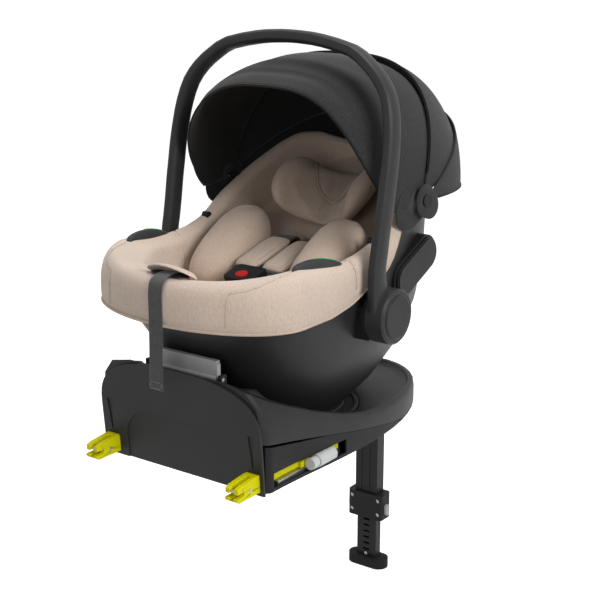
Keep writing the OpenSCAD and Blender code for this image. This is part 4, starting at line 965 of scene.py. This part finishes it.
def add_flap():
    """Padded tongue over the adjuster: an arch that opens to the front. Under it a dark dome on the cover is
    painted shade, where the strap comes out of the opening.
    """
    top, under = [], []
    for v in np.linspace(0, 1, FLAP_ROWS):
        for u in np.linspace(-1, 1, FLAP_COLS):
            reach = math.sqrt(max(0.0, 1 - 0.96 * u * u))
            y = FLAP_MIDDLE + (-1 + 2 * v) * FLAP_DEEP * reach
            z = FLAP_Z - 6 * v + FLAP_ARCH * max(0.0, 1 - u * u) ** 0.8 * (1 - v) ** 0.7
            thick = FLAP_THICK * (1 - u ** 8) * (1 - abs(2 * v - 1) ** 8) ** 0.5 + 0.3
            top.append((FLAP_HALF * u * MM, y * MM, (z + thick) * MM))
            under.append((FLAP_HALF * u * MM, y * MM, z * MM))
    piece = new_piece("adjuster_flap_soft", top + under, skin_faces(FLAP_ROWS, FLAP_COLS), "carrier",
                      ["cover"], stands=["adjuster_flap"])
    subdivide(piece)
    finish_soft(piece, "cover")
    rim = np.array(top[3:FLAP_COLS - 3]) + np.array((0, 4.5, 0.1)) * MM
    stitches("adjuster_flap_stitches", [rim], "carrier", "pillow")
    # Painted shade: a dark dome of black plastic lies where the opening under the flap is in shadow.
    mouth, ring = [], 32
    for grow, rise in ((1.0, 0.0), (0.9, 1.6), (0.5, 2.0)):
        for a in turns(ring):
            mouth.append(np.array((36 * grow * math.cos(a), 25 + 14 * grow * math.sin(a), 303.6 + rise)) * MM)
    new_piece("adjuster_mouth_shade", mouth, closed_faces(3, ring), "carrier", ["housing_dark"])


GUIDE_FOOT, GUIDE_HEAD = np.array((162.0, 108, 317)), np.array((174.0, 218, 307))
GUIDE_TALL, GUIDE_DEEP = 10.5, 7.0


def add_guides():
    """Leaf-shaped belt guides let into the rim, with a thin green mark on the top edge."""
    rows, ring = 34, 20
    for side, word in SIDES:
        mirror = np.array((side, 1, 1)) * MM
        points, crest = [], []
        for t in np.linspace(0, 1, rows):
            tall = max(0.25, GUIDE_TALL * max(0.0, math.sin(math.pi * t ** 0.72)) ** 0.62)
            deep = GUIDE_DEEP * (tall / GUIDE_TALL) ** 0.5
            centre = GUIDE_FOOT + (GUIDE_HEAD - GUIDE_FOOT) * t
            centre[2] += 3.0 * math.sin(math.pi * t) - 1.5
            for turn in turns(ring):
                off = (deep * power(math.cos(turn), 0.8), 0, tall * power(math.sin(turn), 0.8))
                points.append((centre + np.array(off)) * mirror)
            if 0.42 < t < 0.9:
                crest.append((centre + np.array((0.5, 0, tall + 0.1))) * mirror)
        faces = closed_faces(rows, ring)
        if side < 0:
            faces = [f[::-1] for f in faces]
        leaf = new_piece("belt_guide_leaf_" + word, points, faces, "carrier", ["guide"],
                         stands=["belt_guide_" + word])
        subdivide(leaf)
        tube("belt_guide_mark_" + word, crest, 0.9 * MM, "carrier", "green")


# ---- canopy
# Each panel is an arch over the hinge line. Degrees turn about that line, from 0 straight up to 90 rearwards.
HINGE_Y, HINGE_Z = 412 * MM, 374 * MM
HOOD_CLOTH = 2.4
HOOD_ENDS = 1.2
REACH_POWER = 2.8
# A cut panel's width is the length of its arch, and it tapers to its hinges.
VISOR_HALF, MID_HALF, REAR_HALF = 193.5, 198.5, 203.5
VISOR_REAR, MID_REAR, REAR_FRONT, REAR_REAR = 22, 65, 62, 92
MID_FRONT = 18
# Degrees of the visor's front edge, from its ends at the hinges to its middle.
VISOR_FRONT = [(0, -100), (0.3, -96), (0.35, -88), (0.45, -74), (0.6, -63), (0.75, -54), (0.9, -46), (1, -41)]


def hood_share(a):
    """How far up its arch a place on the canopy is, from 0 at a hinge to 1 in the middle."""
    return abs(math.sin(a)) ** (2 / REACH_POWER)


def hood_point(radius, half, n, a, deg):
    reach = radius * abs(math.sin(a)) ** (2 / n)
    turn = math.radians(deg)
    return np.array([half * float(power(math.cos(a), 2 / n)) * MM, HINGE_Y + reach * math.sin(turn) * MM,
                     HINGE_Z + reach * math.cos(turn) * MM])


def hood_sheet(name, half, radii, powers, fronts, rear, body, ripple, rows=44, cols=110):
    """A stretched canopy panel with black lining inside. Gives its outer and inner points, line by line."""
    skins = []
    for inset in (0.0, HOOD_CLOTH):
        for turn in np.linspace(HOOD_ENDS, 180 - HOOD_ENDS, cols + 1):
            a = math.radians(turn)
            share = hood_share(a)
            front = float(table(fronts, share))
            for t in np.linspace(0, 1, rows + 1):
                deg = front + (rear - front) * t
                radius = float(table(radii, deg)) - inset + ripple(a, deg, t) * share
                skins.append(hood_point(radius, half - inset, float(table(powers, deg)), a, deg))
    faces = [f[::-1] for f in skin_faces(cols + 1, rows + 1)]
    panels = cols * rows
    picks = [0] * panels + [1] * panels + [0] * (len(faces) - 2 * panels)
    piece = new_piece(name, skins, faces, body, ["hood", "lining"], picks,
                      stands=[name.replace("_cloth", "")])
    return np.array(skins).reshape(2, cols + 1, rows + 1, 3)


def hood_disc(name, half, radius, body, reach=0.0, toward=196, spread=52):
    """Round gathered ends of a canopy panel at its hinges, drawn out by reach towards one direction."""
    points, faces = [], []
    ring = 56
    rows = [(5, 0.2), (radius * 0.5, 0.1), (radius - 2, 0.0), (radius - 0.6, 0.5), (radius, 1.2),
            (radius - 0.6, 1.9), (radius - 2, HOOD_CLOTH), (radius * 0.5, HOOD_CLOTH), (5, HOOD_CLOTH)]
    for side in (-1, 1):
        made = ring_faces(len(rows), ring, len(points))
        faces += made if side > 0 else [f[::-1] for f in made]
        for r, inset in rows:
            x = side * (half - inset) * MM
            for a in turns(ring):
                off = (math.degrees(a) - toward + 180) % 360 - 180
                out = r * (1 + reach / radius * math.exp(-(off / spread) ** 2)) * MM
                points.append((x, HINGE_Y + out * math.cos(a), HINGE_Z + out * math.sin(a)))
    lined = (half - HOOD_CLOTH * 0.7) * MM
    picks = [int(all(abs(points[k][0]) < lined for k in f)) for f in faces]
    new_piece(name, points, faces, body, ["hood", "lining"], picks)


def visor_ripple(a, deg, t):
    """Sag between the wires, a crease behind the bound edge, and drag lines."""
    sag = -math.sin(math.pi * t) * (3.2 - 2.4 * math.sin(3 * a) ** 2)
    behind = deg - float(table(VISOR_FRONT, hood_share(a)))
    crease = -2.4 * math.exp(-((behind - 9.5) / 2.0) ** 2)
    drag = -1.2 * (1 - math.sin(9 * a + deg * 0.05)) * math.exp(-((deg + 12) / 26.0) ** 2)
    return sag + crease + drag


def mid_ripple(a, deg, t):
    return -math.sin(math.pi * t) * (3.6 + 1.2 * math.sin(2 * a) ** 2 + 0.8 * math.sin(11 * a))


def rear_ripple(a, deg, t):
    return math.sin(math.pi * t) * (0.7 * math.sin(13 * a) - 1.5)


def add_canopy():
    """Three panels with their piping, bound edges and the gathered ends at the hinges."""
    outer, inner = hood_sheet(
        "canopy_visor_cloth", VISOR_HALF, [(-105, 246), (-41, 244), (-12, 223.5), (VISOR_REAR, 220)],
        [(-60, 2.95), (-12, 2.74), (VISOR_REAR, 2.7)], VISOR_FRONT, VISOR_REAR, "canopy_visor", visor_ripple)
    edge = (outer[1:-1, 0] + inner[1:-1, 0]) / 2
    tube("canopy_visor_binding", edge, 2.0 * MM, "canopy_visor", "piping")
    stitches("canopy_visor_stitches", [outer[6:-6, 8]], "canopy_visor", "piping", radius=0.5)
    hood_disc("canopy_visor_ears", VISOR_HALF, 31, "canopy_visor", 43)
    tube("canopy_visor_rear_hem", outer[8:-8, -1], 0.9 * MM, "canopy_visor", "piping")
    outer, _ = hood_sheet(
        "canopy_mid_cloth", MID_HALF, [(MID_FRONT, 228), (MID_REAR, 262)],
        [(MID_FRONT, 2.77), (MID_REAR, 2.42)], [(0, MID_FRONT), (1, MID_FRONT)], MID_REAR, "canopy_mid",
        mid_ripple)
    tube("canopy_front_piping", outer[3:-3, 0], 2.2 * MM, "canopy_mid", "piping")
    tube("canopy_rear_piping", outer[3:-3, -1], 2.4 * MM, "canopy_mid", "piping")
    hood_disc("canopy_mid_ears", MID_HALF, 16, "canopy_mid")
    outer, _ = hood_sheet(
        "canopy_rear_cloth", REAR_HALF, [(REAR_FRONT, 266), (REAR_REAR, 266)],
        [(REAR_FRONT, 2.45), (REAR_REAR, 2.45)], [(0, REAR_FRONT), (1, REAR_FRONT)], REAR_REAR, "carrier",
        rear_ripple, rows=30)
    hood_disc("canopy_rear_ears", REAR_HALF, 26, "carrier", 22, 330, 42)
    tube("canopy_rear_binding", outer[3:-3, -1], 1.8 * MM, "carrier", "piping")


# ---- hard parts
# Nodes that a soft piece stands for, and the width in mm of the rounded edges of the moulded ones.
SOFT = {"seat_cover", "backrest_pad", "bolster_left", "bolster_right", "headrest_cushion", "headrest_pillow",
        "harness_pads", "harness_webbing", "adjuster_flap", "adjuster_strap", "canopy_rear", "canopy_mid",
        "canopy_visor", "belt_guide_left", "belt_guide_right"}
EDGE = {"base_shell": 2.2, "base_wall": 1.6, "handle_bow": 1.2, "carrier_shell": 1.4, "arm_left": 1.4,
        "arm_right": 1.4, "leg_foot": 2.2, "arm_grip_left": 0.8, "arm_grip_right": 0.8, "side_pod_left": 1.0,
        "side_pod_right": 1.0, "release_bar": 1.2, "leg_collar": 1.2, "turntable": 1.2}
PLAIN_EDGE, SMOOTH_ANGLE, BEVEL_ANGLE = 0.6, math.radians(34), math.radians(38)


def smooth_group():
    """Geometry nodes that weld a hard part and shade it smooth up to an edge angle."""
    tree = bpy.data.node_groups.new("smooth_by_edge_angle", "GeometryNodeTree")
    tree.interface.new_socket("Geometry", in_out="INPUT", socket_type="NodeSocketGeometry")
    tree.interface.new_socket("Geometry", in_out="OUTPUT", socket_type="NodeSocketGeometry")
    start, end = node(tree, "NodeGroupInput"), node(tree, "NodeGroupOutput")
    merge = node(tree, "GeometryNodeMergeByDistance", Distance=WELD)
    plain = node(tree, "GeometryNodeRemoveAttribute", Name="custom_normal")
    faces = node(tree, "GeometryNodeSetShadeSmooth", domain="FACE", Shade_Smooth=True)
    angle = node(tree, "GeometryNodeInputMeshEdgeAngle").outputs["Unsigned Angle"]
    sharp = node(tree, "FunctionNodeCompare", operation="GREATER_THAN", A=angle, B=SMOOTH_ANGLE)
    edges = node(tree, "GeometryNodeSetShadeSmooth", domain="EDGE", Selection=sharp.outputs["Result"],
                 Shade_Smooth=False)
    chain = [start, merge, plain, faces, edges, end]
    for before, after in zip(chain, chain[1:]):
        tree.links.new(before.outputs[0], after.inputs[0])
    return tree


def dress_hard():
    """Each hard node keeps its shape, with smooth shading, rounded edges and the look that its slot names."""
    smoothing = smooth_group()
    for name, piece in NODES.items():
        if name in SOFT:
            continue
        look = "housing_dark" if name == "canopy_hinge_pins" else piece.data.materials[0].name.split(".")[0]
        for place in piece.material_slots:
            place.material = LOOK[look]
        modifier(piece, "smooth", "NODES", node_group=smoothing)
        modifier(piece, "bevel", "BEVEL", width=EDGE.get(name, PLAIN_EDGE) * MM, segments=3,
                 limit_method="ANGLE", angle_limit=BEVEL_ANGLE, use_clamp_overlap=True)
        modifier(piece, "even", "WEIGHTED_NORMAL", keep_sharp=True)


add_camera()
add_world()
add_floor()
for lamp in LAMPS:
    area_light(*lamp)
add_canopy()
add_cover_trim(add_cover())
add_inside()
add_webbing()
add_flap()
add_guides()
dress_hard()
